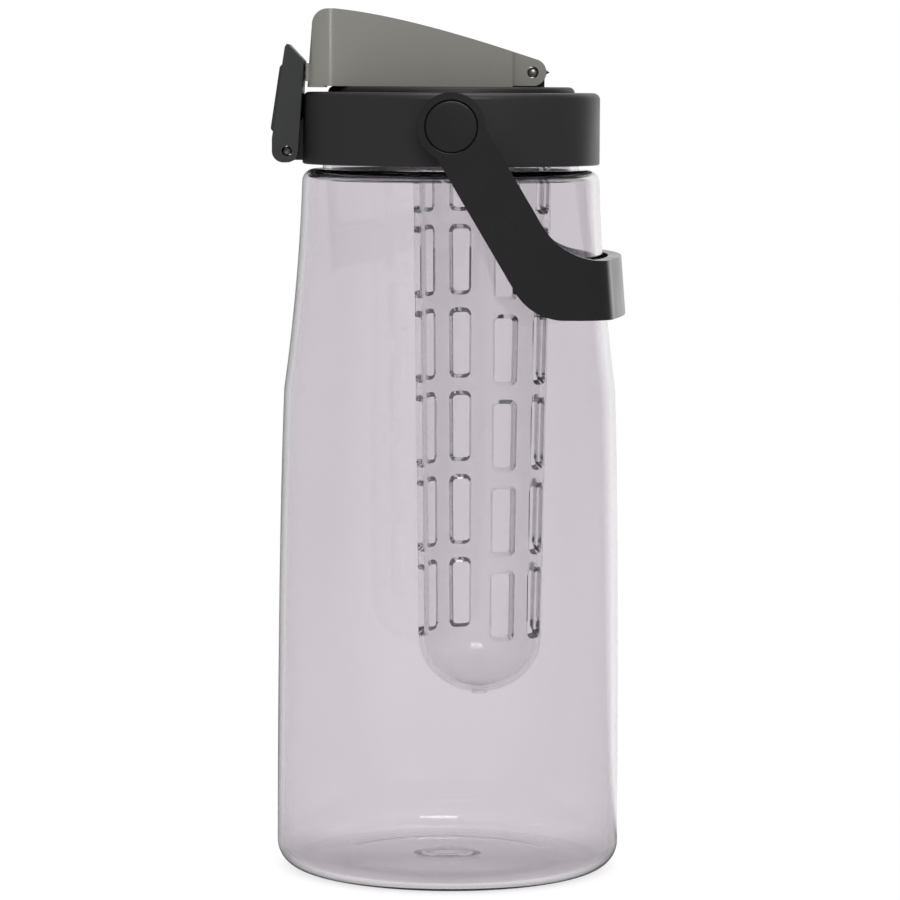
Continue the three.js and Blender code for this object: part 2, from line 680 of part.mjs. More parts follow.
// Side outline of an arm from the pivot: straight, then bent level into the crossbar
function armOutline() {
  const angle = radians(HANDLE_ARM_ANGLE);
  const sine = Math.sin(angle);
  const cosine = Math.cos(angle);
  const half = HANDLE_ARM_HALF_WIDTH;
  const innerZ = -HANDLE_BAR_TOP + HANDLE_INNER_BEND;
  const outerZ = -HANDLE_BAR_TOP - HANDLE_BAR_HEIGHT + HANDLE_OUTER_BEND;
  const innerX = (half + HANDLE_INNER_BEND - innerZ * cosine) / sine;
  const outerX = (HANDLE_OUTER_BEND - half - outerZ * cosine) / sine;
  const beyond = 2 * collarRadius;
  return new THREE.Shape([
    point(half * sine, half * cosine),
    point(-half * sine, -half * cosine),
    ...arc(outerX, outerZ, HANDLE_OUTER_BEND, 180 + 90 - HANDLE_ARM_ANGLE, 270),
    point(beyond, -HANDLE_BAR_TOP - HANDLE_BAR_HEIGHT),
    point(beyond, -HANDLE_BAR_TOP),
    ...arc(innerX, innerZ, HANDLE_INNER_BEND, 270, 180 + 90 - HANDLE_ARM_ANGLE),
  ]);
}

// Plan outline of the handle: two flat arms, round corners and a bowed crossbar
function handlePlan(barOutside) {
  const back = -2 * HANDLE_EYE_RADIUS;
  const outer = armOutside;
  const inner = armInside;
  const ends = barOutside - HANDLE_BAR_BOW;
  const corner = HANDLE_CORNER;
  const innerCorner = corner - HANDLE_ARM_THICKNESS;
  const barInside = barOutside - HANDLE_BAR_THICKNESS;
  const insideEnds = ends - HANDLE_BAR_THICKNESS;
  const steps = 2 * ARC_STEPS;
  const bow = (x, middle, half) => curve(point(x, -half), point(2 * middle - x, 0), point(x, half), steps);
  return new THREE.Shape([
    point(back, -outer),
    ...arc(ends - corner, corner - outer, corner, -90, 0).slice(0, -1),
    ...bow(ends, barOutside, outer - corner),
    ...arc(ends - corner, outer - corner, corner, 0, 90).slice(1),
    point(back, outer),
    point(back, inner),
    ...arc(insideEnds - innerCorner, inner - innerCorner, innerCorner, 90, 0).slice(0, -1),
    ...bow(insideEnds, barInside, inner - innerCorner).reverse(),
    ...arc(insideEnds - innerCorner, innerCorner - inner, innerCorner, 0, -90).slice(1),
    point(back, -inner),
  ]);
}

function handle() {
  const barTop = lidHeight + pivotHeight - HANDLE_BAR_TOP;
  const barMiddle = -HANDLE_BAR_TOP - HANDLE_BAR_HEIGHT / 2;
  const lean = (Math.tan(radians(HANDLE_LEAN)) * HANDLE_BAR_HEIGHT) / 2;
  const rest = Math.max(jugRadius(barTop - HANDLE_BAR_HEIGHT) - lean, jugRadius(barTop) + lean);
  const plan = handlePlan(rest + HANDLE_REST_GAP + HANDLE_BAR_THICKNESS);
  const tall = 2 * HANDLE_BAR_TOP;
  const band = raised(plan, -tall, tall).rotate([0, -HANDLE_LEAN, 0]).translate([0, 0, barMiddle]);
  const wide = armOutside + 1;
  const eye = bar(0, 0, HANDLE_EYE_RADIUS, -wide, wide, ROUND);
  const blank = across(armOutline(), -wide, wide).add(eye).intersect(band);
  const bore = bar(0, 0, PIVOT_SHANK_RADIUS + PIN_FIT, -wide, wide);
  const headFloor = armOutside - PIVOT_HEAD_HEIGHT - FIT;
  const seat = PIVOT_HEAD_RADIUS + FIT;
  const seats = bar(0, 0, seat, -wide, -headFloor, ROUND).add(bar(0, 0, seat, headFloor, wide, ROUND));
  return blank.subtract(bore).subtract(seats);
}

// A mushroom pin through an arm into the collar, for the near side
function handlePivot() {
  const shankEnd = skirtRadius + FIT;
  const headBase = armOutside - PIVOT_HEAD_HEIGHT;
  const profile = [
    point(0, shankEnd),
    point(PIVOT_SHANK_RADIUS, shankEnd),
    point(PIVOT_SHANK_RADIUS, headBase),
    point(PIVOT_HEAD_RADIUS, headBase),
    point(PIVOT_HEAD_RADIUS, armOutside - PIVOT_EDGE),
    point(PIVOT_HEAD_RADIUS - PIVOT_EDGE, armOutside),
    point(0, armOutside),
  ];
  return turned(profile).rotate([90, 0, 0]);
}

function capHingePin() {
  const half = CAP_HALF_WIDTH - CAP_STEP - FIT;
  return bar(0, 0, CAP_PIN_RADIUS, -half, half);
}

function latchHingePin() {
  const half = LATCH_HALF_WIDTH - LATCH_PIN_RECESS;
  return bar(0, 0, LATCH_PIN_RADIUS, -half, half);
}

// Materials
const finish = (color, roughness, metalness = 0) => ({ color, roughness, metalness });
const clear = { ...finish(0xd9d6de, 0.06), transparent: true, opacity: 0.35 };
const dark = finish(0x343436, 0.42);
const darkLatch = finish(0x3c3c3e, 0.42);
const grey = finish(0x7f7e78, 0.4);
const soft = finish(0xb9b9bb, 0.7);
const steel = finish(0xc4c4c6, 0.25, 1);

// A named mesh with its own material
function piece(name, shape, look) {
  const mesh = shape.getMesh();
  const geometry = new THREE.BufferGeometry();
  geometry.setAttribute('position', new THREE.BufferAttribute(new Float32Array(mesh.vertProperties), 3));
  geometry.setIndex(new THREE.BufferAttribute(new Uint32Array(mesh.triVerts), 1));
  geometry.computeVertexNormals();
  const named = new THREE.Mesh(geometry, new THREE.MeshStandardMaterial(look));
  named.name = name;
  return named;
}

// A group of pieces at a place
function placed(x, z, ...pieces) {
  const group = new THREE.Group();
  group.position.set(x, 0, z);
  group.add(...pieces);
  return group;
}

const rearPivot = piece('handle_pivot_rear', handlePivot(), dark);
rearPivot.rotation.z = Math.PI;

const jug = new THREE.Group();
jug.add(
  piece('bottle_body', bottleBody(), clear),
  placed(0, lidHeight + rimHeight + FIT, piece('lid_gasket', lidGasket(), soft)),
  placed(0, lidHeight,
    piece('lid_collar', lidCollar(), dark),
    piece('lid_insert', lidInsert(), dark),
    placed(infuserX, tubeTop, piece('infuser_tube', infuserTube(), clear)),
    placed(hingeX, hingeHeight,
      piece('flip_cap', flipCap(), grey),
      piece('spout_plug', spoutPlug(), soft),
      piece('cap_hinge_pin', capHingePin(), steel)),
    placed(latchPinX, latchPinHeight,
      piece('latch', latch(), darkLatch),
      piece('latch_hinge_pin', latchHingePin(), steel)),
    placed(0, pivotHeight,
      piece('handle', handle(), dark),
      piece('handle_pivot_front', handlePivot(), dark),
      rearPivot)),
);

export default jug;
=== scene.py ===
# %% [markdown]
# # A clear jug with an infuser, a latched flip cap and a bail handle
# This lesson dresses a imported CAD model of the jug. The CAD solids give every place and size, so each
# piece below is modelled where its solid is, with rounder curves and softer edges, and then stands for it.
# All sizes are written in millimetres and turned to metres where Blender needs them.

# %% Load the frame
import math

import bpy
from mathutils import Matrix, Vector


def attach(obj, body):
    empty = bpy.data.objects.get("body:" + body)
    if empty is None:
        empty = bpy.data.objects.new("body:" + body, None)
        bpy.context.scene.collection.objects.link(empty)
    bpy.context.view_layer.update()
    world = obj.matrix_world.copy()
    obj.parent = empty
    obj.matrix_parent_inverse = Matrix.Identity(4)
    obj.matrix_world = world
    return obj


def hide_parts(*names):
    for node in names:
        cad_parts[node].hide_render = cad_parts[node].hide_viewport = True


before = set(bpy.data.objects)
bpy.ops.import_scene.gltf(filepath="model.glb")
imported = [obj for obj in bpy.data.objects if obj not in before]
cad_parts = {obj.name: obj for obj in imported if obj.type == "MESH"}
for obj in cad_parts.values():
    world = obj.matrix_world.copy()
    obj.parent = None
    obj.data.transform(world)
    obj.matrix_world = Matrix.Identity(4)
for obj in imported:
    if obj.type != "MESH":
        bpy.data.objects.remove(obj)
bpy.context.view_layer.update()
MM = 0.001

# %% [markdown]
# ## The camera
# The photograph was taken from the height of the lid with a long lens that looks down a little, so the
# lid is seen level and the foot from above. The jug leans a third of a degree to the right in the picture,
# which is a small roll of the camera about the way it looks.

# %% Camera
LENS_MM = 164.55
CAMERA_DISTANCE = 1306.4
CAMERA_HEIGHT = 249.7
CAMERA_SIDE = 0.17
CAMERA_PITCH = 5.096
CAMERA_ROLL = 0.312

camera_data = bpy.data.cameras.new("studio_camera")
camera_data.lens = LENS_MM
camera_data.sensor_width = 36
camera = bpy.data.objects.new("studio_camera", camera_data)
bpy.context.scene.collection.objects.link(camera)
camera.location = Vector((CAMERA_SIDE, -CAMERA_DISTANCE, CAMERA_HEIGHT)) * MM
pitch = Matrix.Rotation(math.radians(90 - CAMERA_PITCH), 3, "X")
roll = Matrix.Rotation(math.radians(CAMERA_ROLL), 3, "Z")
camera.rotation_euler = (pitch @ roll).to_euler()
bpy.context.scene.camera = camera
print("Camera at", [round(v, 3) for v in camera.location], "with a", LENS_MM, "mm lens")

# %% [markdown]
# ## Turning on a lathe
# Most of the jug is round: bottle, lid, infuser, buttons and pins. A profile could be spun about its axis,
# but a ring of edges that is extruded and scaled from one height to the next does the same and keeps an
# even grid of quads. A station is a radius and a height. The ends close to a point or back on the start.

# %% Lathe helpers


def start_clean():
    """Leave edit mode and deselect everything, so that the next operator touches only its own piece."""
    if bpy.context.mode != "OBJECT":
        bpy.ops.object.mode_set(mode="OBJECT")
    bpy.ops.object.select_all(action="DESELECT")


def arc(centre, radius, start, end, steps=12):
    """Points on an arc, with angles in degrees."""
    angles = [math.radians(start + (end - start) * step / steps) for step in range(steps + 1)]
    return [(centre[0] + radius * math.cos(a), centre[1] + radius * math.sin(a)) for a in angles]


def bow(start, control, end, steps=24):
    """Points on a curve that leaves its start towards a control point and arrives at its end."""
    points = []
    for step in range(steps + 1):
        t = step / steps
        parts = ((1 - t) ** 2, 2 * t * (1 - t), t * t)
        points.append(tuple(sum(p * q[i] for p, q in zip(parts, (start, control, end))) for i in (0, 1)))
    return points


def close_shell(piece):
    """Merge doubles and turn all faces outwards."""
    bpy.ops.mesh.select_all(action="SELECT")
    bpy.ops.mesh.remove_doubles(threshold=1e-7)
    bpy.ops.mesh.normals_make_consistent(inside=False)
    start_clean()
    return piece


def turned(name, stations, sides=144, centre=(0, 0), along="Z", ends="poles"):
    """A ring is added at the first station, and extruded and scaled through the others."""
    upright = along == "Z"

    def place(height):
        spot = (centre[0], centre[1], height) if upright else (centre[0], height, centre[1])
        return Vector(spot) * MM

    start_clean()
    turn = (0, 0, 0) if upright else (math.pi / 2, 0, 0)
    radius, height = stations[0]
    bpy.ops.mesh.primitive_circle_add(vertices=sides, radius=radius * MM, location=place(height),
                                      rotation=turn)
    piece = bpy.context.object
    piece.name = name
    bpy.ops.object.transform_apply(location=True, rotation=True, scale=True)
    bpy.ops.object.mode_set(mode="EDIT")
    bpy.ops.mesh.select_all(action="SELECT")
    for (radius, height), (next_radius, next_height) in zip(stations, stations[1:]):
        rise = place(next_height) - place(height)
        bpy.ops.mesh.extrude_region_move(TRANSFORM_OT_translate={"value": rise})
        if next_radius != radius:
            size = next_radius / radius
            scale = (size, size, 1) if upright else (size, 1, size)
            bpy.ops.transform.resize(value=scale, center_override=place(next_height))
    bpy.ops.mesh.select_mode(type="EDGE")
    bpy.ops.mesh.select_non_manifold(extend=False, use_wire=False, use_multi_face=False,
                                     use_non_contiguous=False, use_verts=False)
    if ends == "ring":
        bpy.ops.mesh.bridge_edge_loops()
    else:
        bpy.ops.mesh.fill_holes(sides=0)
        bpy.ops.mesh.select_face_by_sides(number=4, type="GREATER", extend=False)
        bpy.ops.mesh.poke()
    bpy.ops.mesh.select_mode(type="VERT")
    return close_shell(piece)


# %% [markdown]
# ## Slabs, cuts and soft edges
# Moulded pieces such as the flip cap, latch and handle are outlines with a thickness. A filled circle with
# one corner for each point of the outline becomes that outline when its corners are put in place, and an
# extrude gives it thickness. Booleans join and cut the slabs as a mould's halves would, a bevel rounds the
# edges that a mould never leaves sharp, and weighted normals keep the flat faces flat in the light.

# %% Slab helpers


def slab(name, outline, near, far, across="Y"):
    """An outline in X and Z carried across Y, or in X and Y raised along Z."""
    start_clean()
    bpy.ops.mesh.primitive_circle_add(vertices=len(outline), radius=MM, fill_type="NGON")
    piece = bpy.context.object
    piece.name = name
    for corner, (a, b) in zip(piece.data.vertices, outline):
        spot = (a, near, b) if across == "Y" else (a, b, near)
        corner.co = Vector(spot) * MM
    bpy.ops.object.mode_set(mode="EDIT")
    bpy.ops.mesh.select_all(action="SELECT")
    way = (0, (far - near) * MM, 0) if across == "Y" else (0, 0, (far - near) * MM)
    bpy.ops.mesh.extrude_region_move(TRANSFORM_OT_translate={"value": way})
    return close_shell(piece)


def box(name, low, high):
    """A block between two corners."""
    outline = [(low[0], low[2]), (high[0], low[2]), (high[0], high[2]), (low[0], high[2])]
    return slab(name, outline, low[1], high[1])


def apply_modifier(piece, modifier):
    start_clean()
    piece.select_set(True)
    bpy.context.view_layer.objects.active = piece
    bpy.ops.object.modifier_apply(modifier=modifier.name)


def combine(piece, tool, how):
    """Join (UNION), cut (DIFFERENCE) or keep what is shared (INTERSECT), and take the tool away."""
    modifier = piece.modifiers.new("mould", "BOOLEAN")
    modifier.operation = how
    modifier.solver = "EXACT"
    modifier.object = tool
    apply_modifier(piece, modifier)
    bpy.data.objects.remove(tool, do_unlink=True)
    bpy.ops.object.mode_set(mode="EDIT")
    bpy.ops.mesh.select_all(action="SELECT")
    bpy.ops.mesh.dissolve_degenerate(threshold=1e-6)
    start_clean()
    return piece


def soften(piece, width, segments=3, sharper_than=40):
    """Round every edge that turns more sharply than an angle."""
    modifier = piece.modifiers.new("soft_edges", "BEVEL")
    modifier.width = width * MM
    modifier.segments = segments
    modifier.limit_method = "ANGLE"
    modifier.angle_limit = math.radians(sharper_than)
    apply_modifier(piece, modifier)
    return piece


def finish(piece, body, node, smooth=32):
    """Smooth the shading, and let the piece ride with its body in place of its CAD node."""
    start_clean()
    piece.select_set(True)
    bpy.context.view_layer.objects.active = piece
    bpy.ops.object.shade_smooth_by_angle(angle=math.radians(smooth))
    modifier = piece.modifiers.new("flat_faces", "WEIGHTED_NORMAL")
    modifier.keep_sharp = True
    apply_modifier(piece, modifier)
    piece.name = "visual_" + node
    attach(piece, body)
    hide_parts(node)
    piece.data.calc_loop_triangles()
    corners = [vertex.co for vertex in piece.data.vertices]
    low, high = ([round(pick(c[i] for c in corners) / MM, 1) for i in range(3)] for pick in (min, max))
    print(piece.name, len(piece.data.loop_triangles), "triangles, from", low, "to", high)
    return piece


# %% [markdown]
# ## The bottle
# The jug is blow-moulded from a clear copolyester: an even wall, a round foot, a long straight side that
# tapers into the shoulder, and a stiff neck. One lathe profile goes up the outside, over the rim and
# down the inside, so that the wall has a real thickness for light to bend in. The dome under the base
# keeps it off the table, and the flat disc in its middle is where the plastic was pinched off.

# %% Bottle
BODY_RADIUS = 54.5
BODY_WALL = 2.2
FOOT_ROUND = 8
FLARE_RADIUS, FLARE_HEIGHT = 52.65, 153
SHOULDER_RADIUS, SHOULDER_HEIGHT, SHOULDER_ROUND = 47.1, 222.6, 4
NECK_RADIUS, NECK_INSIDE, RIM_HEIGHT, RIM_ROUND = 40.6, 38, 239.7, 0.7
SIDE_BEND, FLARE_BEND = 104.7, 186.3
GATE_RADIUS, GATE_LIFT, GATE_INSIDE_LIFT = 8, 2.9, 0.8
GATE_SLOPE, GATE_FOOT = 8.5, 11.5
DOME_LIFT, DOME_BEND, DOME_EASE, RING_START = 1.2, 33.5, 5.5, 44


def bottle_side(wall, neck):
    """Stations from the middle of the base to the neck, set in by a wall."""
    foot = BODY_RADIUS - FOOT_ROUND
    lift = GATE_LIFT if not wall else DOME_LIFT + GATE_INSIDE_LIFT
    crown = DOME_LIFT + wall
    slope = (GATE_SLOPE, (lift + DOME_LIFT) / 2 + wall)
    bend = (DOME_BEND, DOME_LIFT / 2 + wall)
    gate = bow((GATE_RADIUS - 2.5, lift + wall), (GATE_RADIUS, lift + wall), slope, 6)
    gate += bow(slope, (GATE_SLOPE + 0.7, crown), (GATE_FOOT, crown), 6)[1:]
    dome = bow((GATE_FOOT, crown), (DOME_BEND - DOME_EASE, crown), bend, 10)[1:]
    dome += bow(bend, (DOME_BEND + DOME_EASE, wall), (RING_START, wall), 10)[1:]
    base = arc((foot, FOOT_ROUND), FOOT_ROUND - wall, -90, 0, 16)
    waist = (FLARE_RADIUS - wall, FLARE_HEIGHT)
    side = bow((BODY_RADIUS - wall, FOOT_ROUND), (BODY_RADIUS - wall, SIDE_BEND), waist)
    flare = bow(waist, (SHOULDER_RADIUS + 1 - wall, FLARE_BEND),
                (SHOULDER_RADIUS - wall, SHOULDER_HEIGHT - SHOULDER_ROUND))
    top = (SHOULDER_RADIUS - SHOULDER_ROUND, SHOULDER_HEIGHT - SHOULDER_ROUND)
    shoulder = arc(top, SHOULDER_ROUND - wall, 0, 90, 12)
    return [(0.5, lift + wall)] + gate + dome + base + side[1:] + flare[1:] + shoulder[1:] + [
        (neck, SHOULDER_HEIGHT - wall)]


rim = arc((NECK_RADIUS - RIM_ROUND, RIM_HEIGHT - RIM_ROUND), RIM_ROUND, 0, 90, 5)
rim += arc((NECK_INSIDE + RIM_ROUND, RIM_HEIGHT - RIM_ROUND), RIM_ROUND, 90, 180, 5)
outside = bottle_side(0, NECK_RADIUS)
inside = bottle_side(BODY_WALL, NECK_INSIDE)
bottle = turned("bottle", outside + rim + inside[::-1], sides=160)
print("Bottle profile has", len(outside + rim + inside), "stations")

# %% [markdown]
# ## The screw thread
# The neck carries one turn of a round thread that climbs 6 mm. A small ring beside the axis, swept by
# the Screw modifier, winds it, and a Boolean welds it on. The lid has the matching ridge inside.

# %% Thread helper
THREAD_PITCH = 6
THREAD_RADIUS = 1.3
NECK_THREAD, SKIRT_THREAD = 229.55, 227.2


def thread_ridge(radius, start):
    """One turn of a round ridge about the jug's axis."""
    start_clean()
    spot = Vector((radius, 0, start)) * MM
    bpy.ops.mesh.primitive_circle_add(vertices=14, radius=THREAD_RADIUS * MM, location=spot,
                                      rotation=(math.pi / 2, 0, 0))
    ridge = bpy.context.object
    bpy.ops.object.transform_apply(location=True, rotation=True, scale=True)
    sweep = ridge.modifiers.new("sweep", "SCREW")
    sweep.axis = "Z"
    sweep.screw_offset = THREAD_PITCH * MM
    sweep.steps = sweep.render_steps = 96
    apply_modifier(ridge, sweep)
    bpy.ops.object.mode_set(mode="EDIT")
    bpy.ops.mesh.select_all(action="SELECT")
    bpy.ops.mesh.fill_holes(sides=0)
    return close_shell(ridge)


combine(bottle, thread_ridge(NECK_RADIUS, NECK_THREAD), "UNION")
finish(bottle, "jug", "bottle_body", smooth=40)

# %% [markdown]
# ## The infuser
# The tube hangs off-centre under the lid, a little right of the jug's axis. It is injection-moulded with
# a slight taper and a domed end. Each window is a block with rounded corners. They stand six rows high and
# three columns wide on two opposite sides, and one Boolean cuts them all. The slots narrow inwards, and in
# clear plastic a sloping wall bends light so much that it shows as a grey band.

# %% Infuser tube
TUBE_X = 10
TUBE_TOP, TUBE_TOP_RADIUS = 244.1, 22.3
TUBE_FOOT, TUBE_FOOT_RADIUS = 73.6, 19.6
TUBE_WALL = 2
TUBE_DOME = 17.6
NUB_RADIUS, NUB_LENGTH = 2.4, 0.7


def tube_side(wall):
    """Stations from the lowest point of the dome to the rim, set in by a wall."""
    turn = arc((0, 0), 1, -90, 0, 18)
    dome = [(max(0.4, x * (TUBE_FOOT_RADIUS - wall)), TUBE_FOOT + z * (TUBE_DOME - wall)) for x, z in turn]
    rise = [(TUBE_FOOT_RADIUS + (TUBE_TOP_RADIUS - TUBE_FOOT_RADIUS) * share - wall,
             TUBE_FOOT + (TUBE_TOP - TUBE_FOOT) * share) for share in (0.25, 0.5, 0.75, 1)]
    return dome + rise


tube = turned("tube", tube_side(0) + tube_side(TUBE_WALL)[::-1], sides=128, centre=(TUBE_X, 0))
nub_low = TUBE_FOOT - TUBE_DOME - NUB_LENGTH
nub = turned("nub", [(1.2, nub_low), (NUB_RADIUS - 0.2, nub_low + 0.1), (NUB_RADIUS, nub_low + 0.4),
                     (NUB_RADIUS, nub_low + 1.5)], sides=32, centre=(TUBE_X, 0))
combine(tube, nub, "UNION")

# %% Infuser lugs
LUG_RADIUS, LUG_HEIGHT, LUG_ANGLE, LUG_TURN = 23.9, 2.5, 36, 30


def lug(inside, outside, angle, low, high):
    """A sector of a ring about the infuser's axis."""
    edges = (angle - LUG_ANGLE / 2, angle + LUG_ANGLE / 2)
    outline = arc((0, 0), outside, edges[0], edges[1], 10) + arc((0, 0), inside, edges[1], edges[0], 10)
    return slab("lug", [(TUBE_X + x, y) for x, y in outline], low, high, across="Z")


for third in range(3):
    lug_piece = lug(TUBE_TOP_RADIUS - 1, LUG_RADIUS, LUG_TURN + 120 * third, TUBE_TOP - LUG_HEIGHT, TUBE_TOP)
    combine(tube, lug_piece, "UNION")
print("Infuser tube with", third + 1, "lugs")

# %% Infuser slots
SLOT_ROWS, SLOT_PITCH, SLOT_HEIGHT, LOWEST_SLOT = 6, 26.9, 22.8, 74.1
SLOT_WIDTH, SIDE_SLOT_WIDTH, SIDE_SLOT_ANGLE = 9.6, 8.9, 41.5
SLOT_CORNER, SLOT_FLARE, SLOT_REACH = 2.6, 0.7, 3.3
SLOT_TURN = 62


def window(low, width):
    """A block with rounded corners that narrows inwards and cuts one slot of the side that faces -Y."""
    left, right = SLOT_CORNER - width / 2, width / 2 - SLOT_CORNER
    bottom, top = low + SLOT_CORNER, low + SLOT_HEIGHT - SLOT_CORNER
    share = (low + SLOT_HEIGHT / 2 - TUBE_FOOT) / (TUBE_TOP - TUBE_FOOT)
    radius = TUBE_FOOT_RADIUS + (TUBE_TOP_RADIUS - TUBE_FOOT_RADIUS) * share
    wide, narrow = SLOT_CORNER + SLOT_FLARE * SLOT_REACH, SLOT_CORNER - SLOT_FLARE * SLOT_REACH
    outline = arc((right, bottom), wide, -90, 0, 6) + arc((right, top), wide, 0, 90, 6)
    outline += arc((left, top), wide, 90, 180, 6) + arc((left, bottom), wide, 180, 270, 6)
    piece = slab("window", outline, -radius - SLOT_REACH, SLOT_REACH - radius)
    for corner in piece.data.vertices:
        if corner.co.y > -radius * MM:
            middle = Vector((min(max(corner.co.x, left * MM), right * MM), corner.co.y,
                             min(max(corner.co.z, bottom * MM), top * MM)))
            corner.co = middle + (corner.co - middle) * (narrow / wide)
    return piece


windows = []
columns = ((-SIDE_SLOT_ANGLE, SIDE_SLOT_WIDTH), (0, SLOT_WIDTH), (SIDE_SLOT_ANGLE, SIDE_SLOT_WIDTH))
for row in range(SLOT_ROWS):
    for angle, width in columns:
        for turn in (SLOT_TURN, SLOT_TURN + 180):
            cutter = window(LOWEST_SLOT + row * SLOT_PITCH, width)
            cutter.rotation_euler = (0, 0, math.radians(turn + angle))
            cutter.location = (TUBE_X * MM, 0, 0)
            windows.append(cutter)
start_clean()
for cutter in windows:
    cutter.select_set(True)
bpy.context.view_layer.objects.active = windows[0]
bpy.ops.object.transform_apply(location=True, rotation=True, scale=True)
bpy.ops.object.join()
combine(tube, bpy.context.object, "DIFFERENCE")
soften(tube, 0.3, segments=2, sharper_than=40)
finish(tube, "infuser", "infuser_tube", smooth=40)
print("Cut", len(windows), "slots")

# %% [markdown]
# ## The collar
# A dark ring goes round the lid, with a generous round at its top edge and a small one at its foot. It
# is turned as one closed ring, hollow inside like the real moulding. Two low bosses carry the handle's
# pivots, and a lug on the pouring side carries the latch's pin. Booleans weld them on and drill them.

# %% Collar
COLLAR_RADIUS, COLLAR_INSIDE, COLLAR_LIP = 47.05, 44.55, 44.1
COLLAR_LOW, COLLAR_HIGH, COLLAR_ROUND = 224.1, 246.8, 2.2
COLLAR_CEILING, LIP_TOP = 244.6, 225.5
DECK_HOLE = 39.3
PIVOT_HEIGHT, PIVOT_HOLE = 236.55, 4.3
BOSS_RADIUS, BOSS_FACE = 10, 47.9
LATCH_X, LATCH_Z, LATCH_HOLE = -51.6, 228.2, 1.6
KNUCKLE_RADIUS, KNUCKLE_HALF, KNUCKLE_WEB = 2.9, 6, 12

collar_profile = [(COLLAR_LIP, COLLAR_LOW)]
collar_profile += arc((COLLAR_RADIUS - 0.7, COLLAR_LOW + 0.7), 0.7, -90, 0, 5)
collar_profile += arc((COLLAR_RADIUS - COLLAR_ROUND, COLLAR_HIGH - COLLAR_ROUND), COLLAR_ROUND, 0, 90, 10)
collar_profile += arc((DECK_HOLE + 0.5, COLLAR_HIGH - 0.5), 0.5, 90, 180, 4)
collar_profile += [(DECK_HOLE, COLLAR_CEILING), (COLLAR_INSIDE, COLLAR_CEILING)]
collar_profile += [(COLLAR_INSIDE, LIP_TOP), (COLLAR_LIP, LIP_TOP)]
collar = turned("collar", collar_profile, sides=160, ends="ring")

# %% Collar bosses and latch lug


def bar(name, x, z, radius, near, far, sides=64, edge=0):
    """A round bar along Y whose two ends may have a small round edge."""
    stations = [(radius, near), (radius, far)]
    if edge:
        stations = arc((radius - edge, near + edge), edge, -90, 0, 3)
        stations += arc((radius - edge, far - edge), edge, 0, 90, 3)
    return turned(name, stations, sides=sides, centre=(x, z), along="Y")


room = turned("room", [(COLLAR_INSIDE, LIP_TOP), (COLLAR_INSIDE, COLLAR_HIGH)], sides=160)
bosses = bar("bosses", 0, PIVOT_HEIGHT, BOSS_RADIUS, -BOSS_FACE, BOSS_FACE, edge=0.4)
combine(bosses, room, "DIFFERENCE")
combine(collar, bosses, "UNION")
knuckle_outline = [(-46, LATCH_Z - KNUCKLE_RADIUS), (-46, LATCH_Z + KNUCKLE_WEB)]
knuckle_outline += arc((LATCH_X, LATCH_Z), KNUCKLE_RADIUS, 90, 270, 16)
knuckle = soften(slab("knuckle", knuckle_outline, -KNUCKLE_HALF, KNUCKLE_HALF), 0.4)
combine(knuckle, bar("latch_hole", LATCH_X, LATCH_Z, LATCH_HOLE, -8, 8, sides=32), "DIFFERENCE")
combine(collar, knuckle, "UNION")
combine(collar, bar("pivot_holes", 0, PIVOT_HEIGHT, PIVOT_HOLE, -50, 50), "DIFFERENCE")
finish(collar, "lid", "lid_collar")

# %% [markdown]
# ## The screw cap inside the lid
# Inside the collar sits the part that screws down: a skirt with the thread, a ceiling for the gasket, a
# deck with the spout on it, a socket under it for the infuser and two lugs for the flip cap's pin. Only
# its foot and deck show, but the deck is what one sees with the cap open, so it is modelled whole.

# %% Insert
SKIRT_INSIDE, SKIRT_RADIUS, SKIRT_LOW = 42.3, 43.8, 224.8
CEILING, FLANGE_TOP, FLANGE_RADIUS = 242.2, 244.3, 44.25
RIB_LOW, RIB_HIGH, SKIRT_EDGE = 225.8, 227.3, 0.3
DECK_RADIUS, DECK_INSIDE, DECK_TOP, DECK_UNDER, DECK_ROUND = 39, 37.7, 248.6, 246.4, 1.8
SPOUT_X, SPOUT_TOP = -26.9, 262.6

insert_profile = [(0.5, DECK_UNDER), (DECK_INSIDE, DECK_UNDER), (DECK_INSIDE, CEILING)]
insert_profile += [(SKIRT_INSIDE, CEILING), (SKIRT_INSIDE, SKIRT_LOW + SKIRT_EDGE)]
insert_profile += [(SKIRT_INSIDE + SKIRT_EDGE, SKIRT_LOW), (SKIRT_RADIUS - SKIRT_EDGE, SKIRT_LOW)]
insert_profile += [(SKIRT_RADIUS, SKIRT_LOW + SKIRT_EDGE), (SKIRT_RADIUS, RIB_LOW)]
insert_profile += [(FLANGE_RADIUS, RIB_LOW), (FLANGE_RADIUS, RIB_HIGH), (SKIRT_RADIUS, RIB_HIGH)]
insert_profile += [(SKIRT_RADIUS, CEILING), (FLANGE_RADIUS, CEILING)]
insert_profile += [(FLANGE_RADIUS, FLANGE_TOP), (DECK_RADIUS, FLANGE_TOP)]
insert_profile += arc((DECK_RADIUS - DECK_ROUND, DECK_TOP - DECK_ROUND), DECK_ROUND, 0, 90, 8)
insert_profile += [(0.5, DECK_TOP)]
insert = turned("insert", insert_profile, sides=144)
combine(insert, thread_ridge(SKIRT_INSIDE, SKIRT_THREAD), "UNION")

# %% Spout, socket and hinge lugs
HINGE_X, HINGE_Z, HINGE_HOLE = 25.4, 253.2, 1.8
LUG_INNER, LUG_OUTER = 10.0, 15.2
SOCKET_INSIDE, SOCKET_OUTSIDE, SOCKET_LOW, SOCKET_HIGH = 24.2, 25.8, 238.8, 247.4
CATCH_INSIDE, CATCH_OUTSIDE = 22.6, 25


def oval(x, length, width, steps=72):
    """An oval outline in X and Y, from its half length and half width."""
    return [(x + length * a, width * b) for a, b in arc((0, 0), 1, 0, 360 - 360 / steps, steps - 1)]


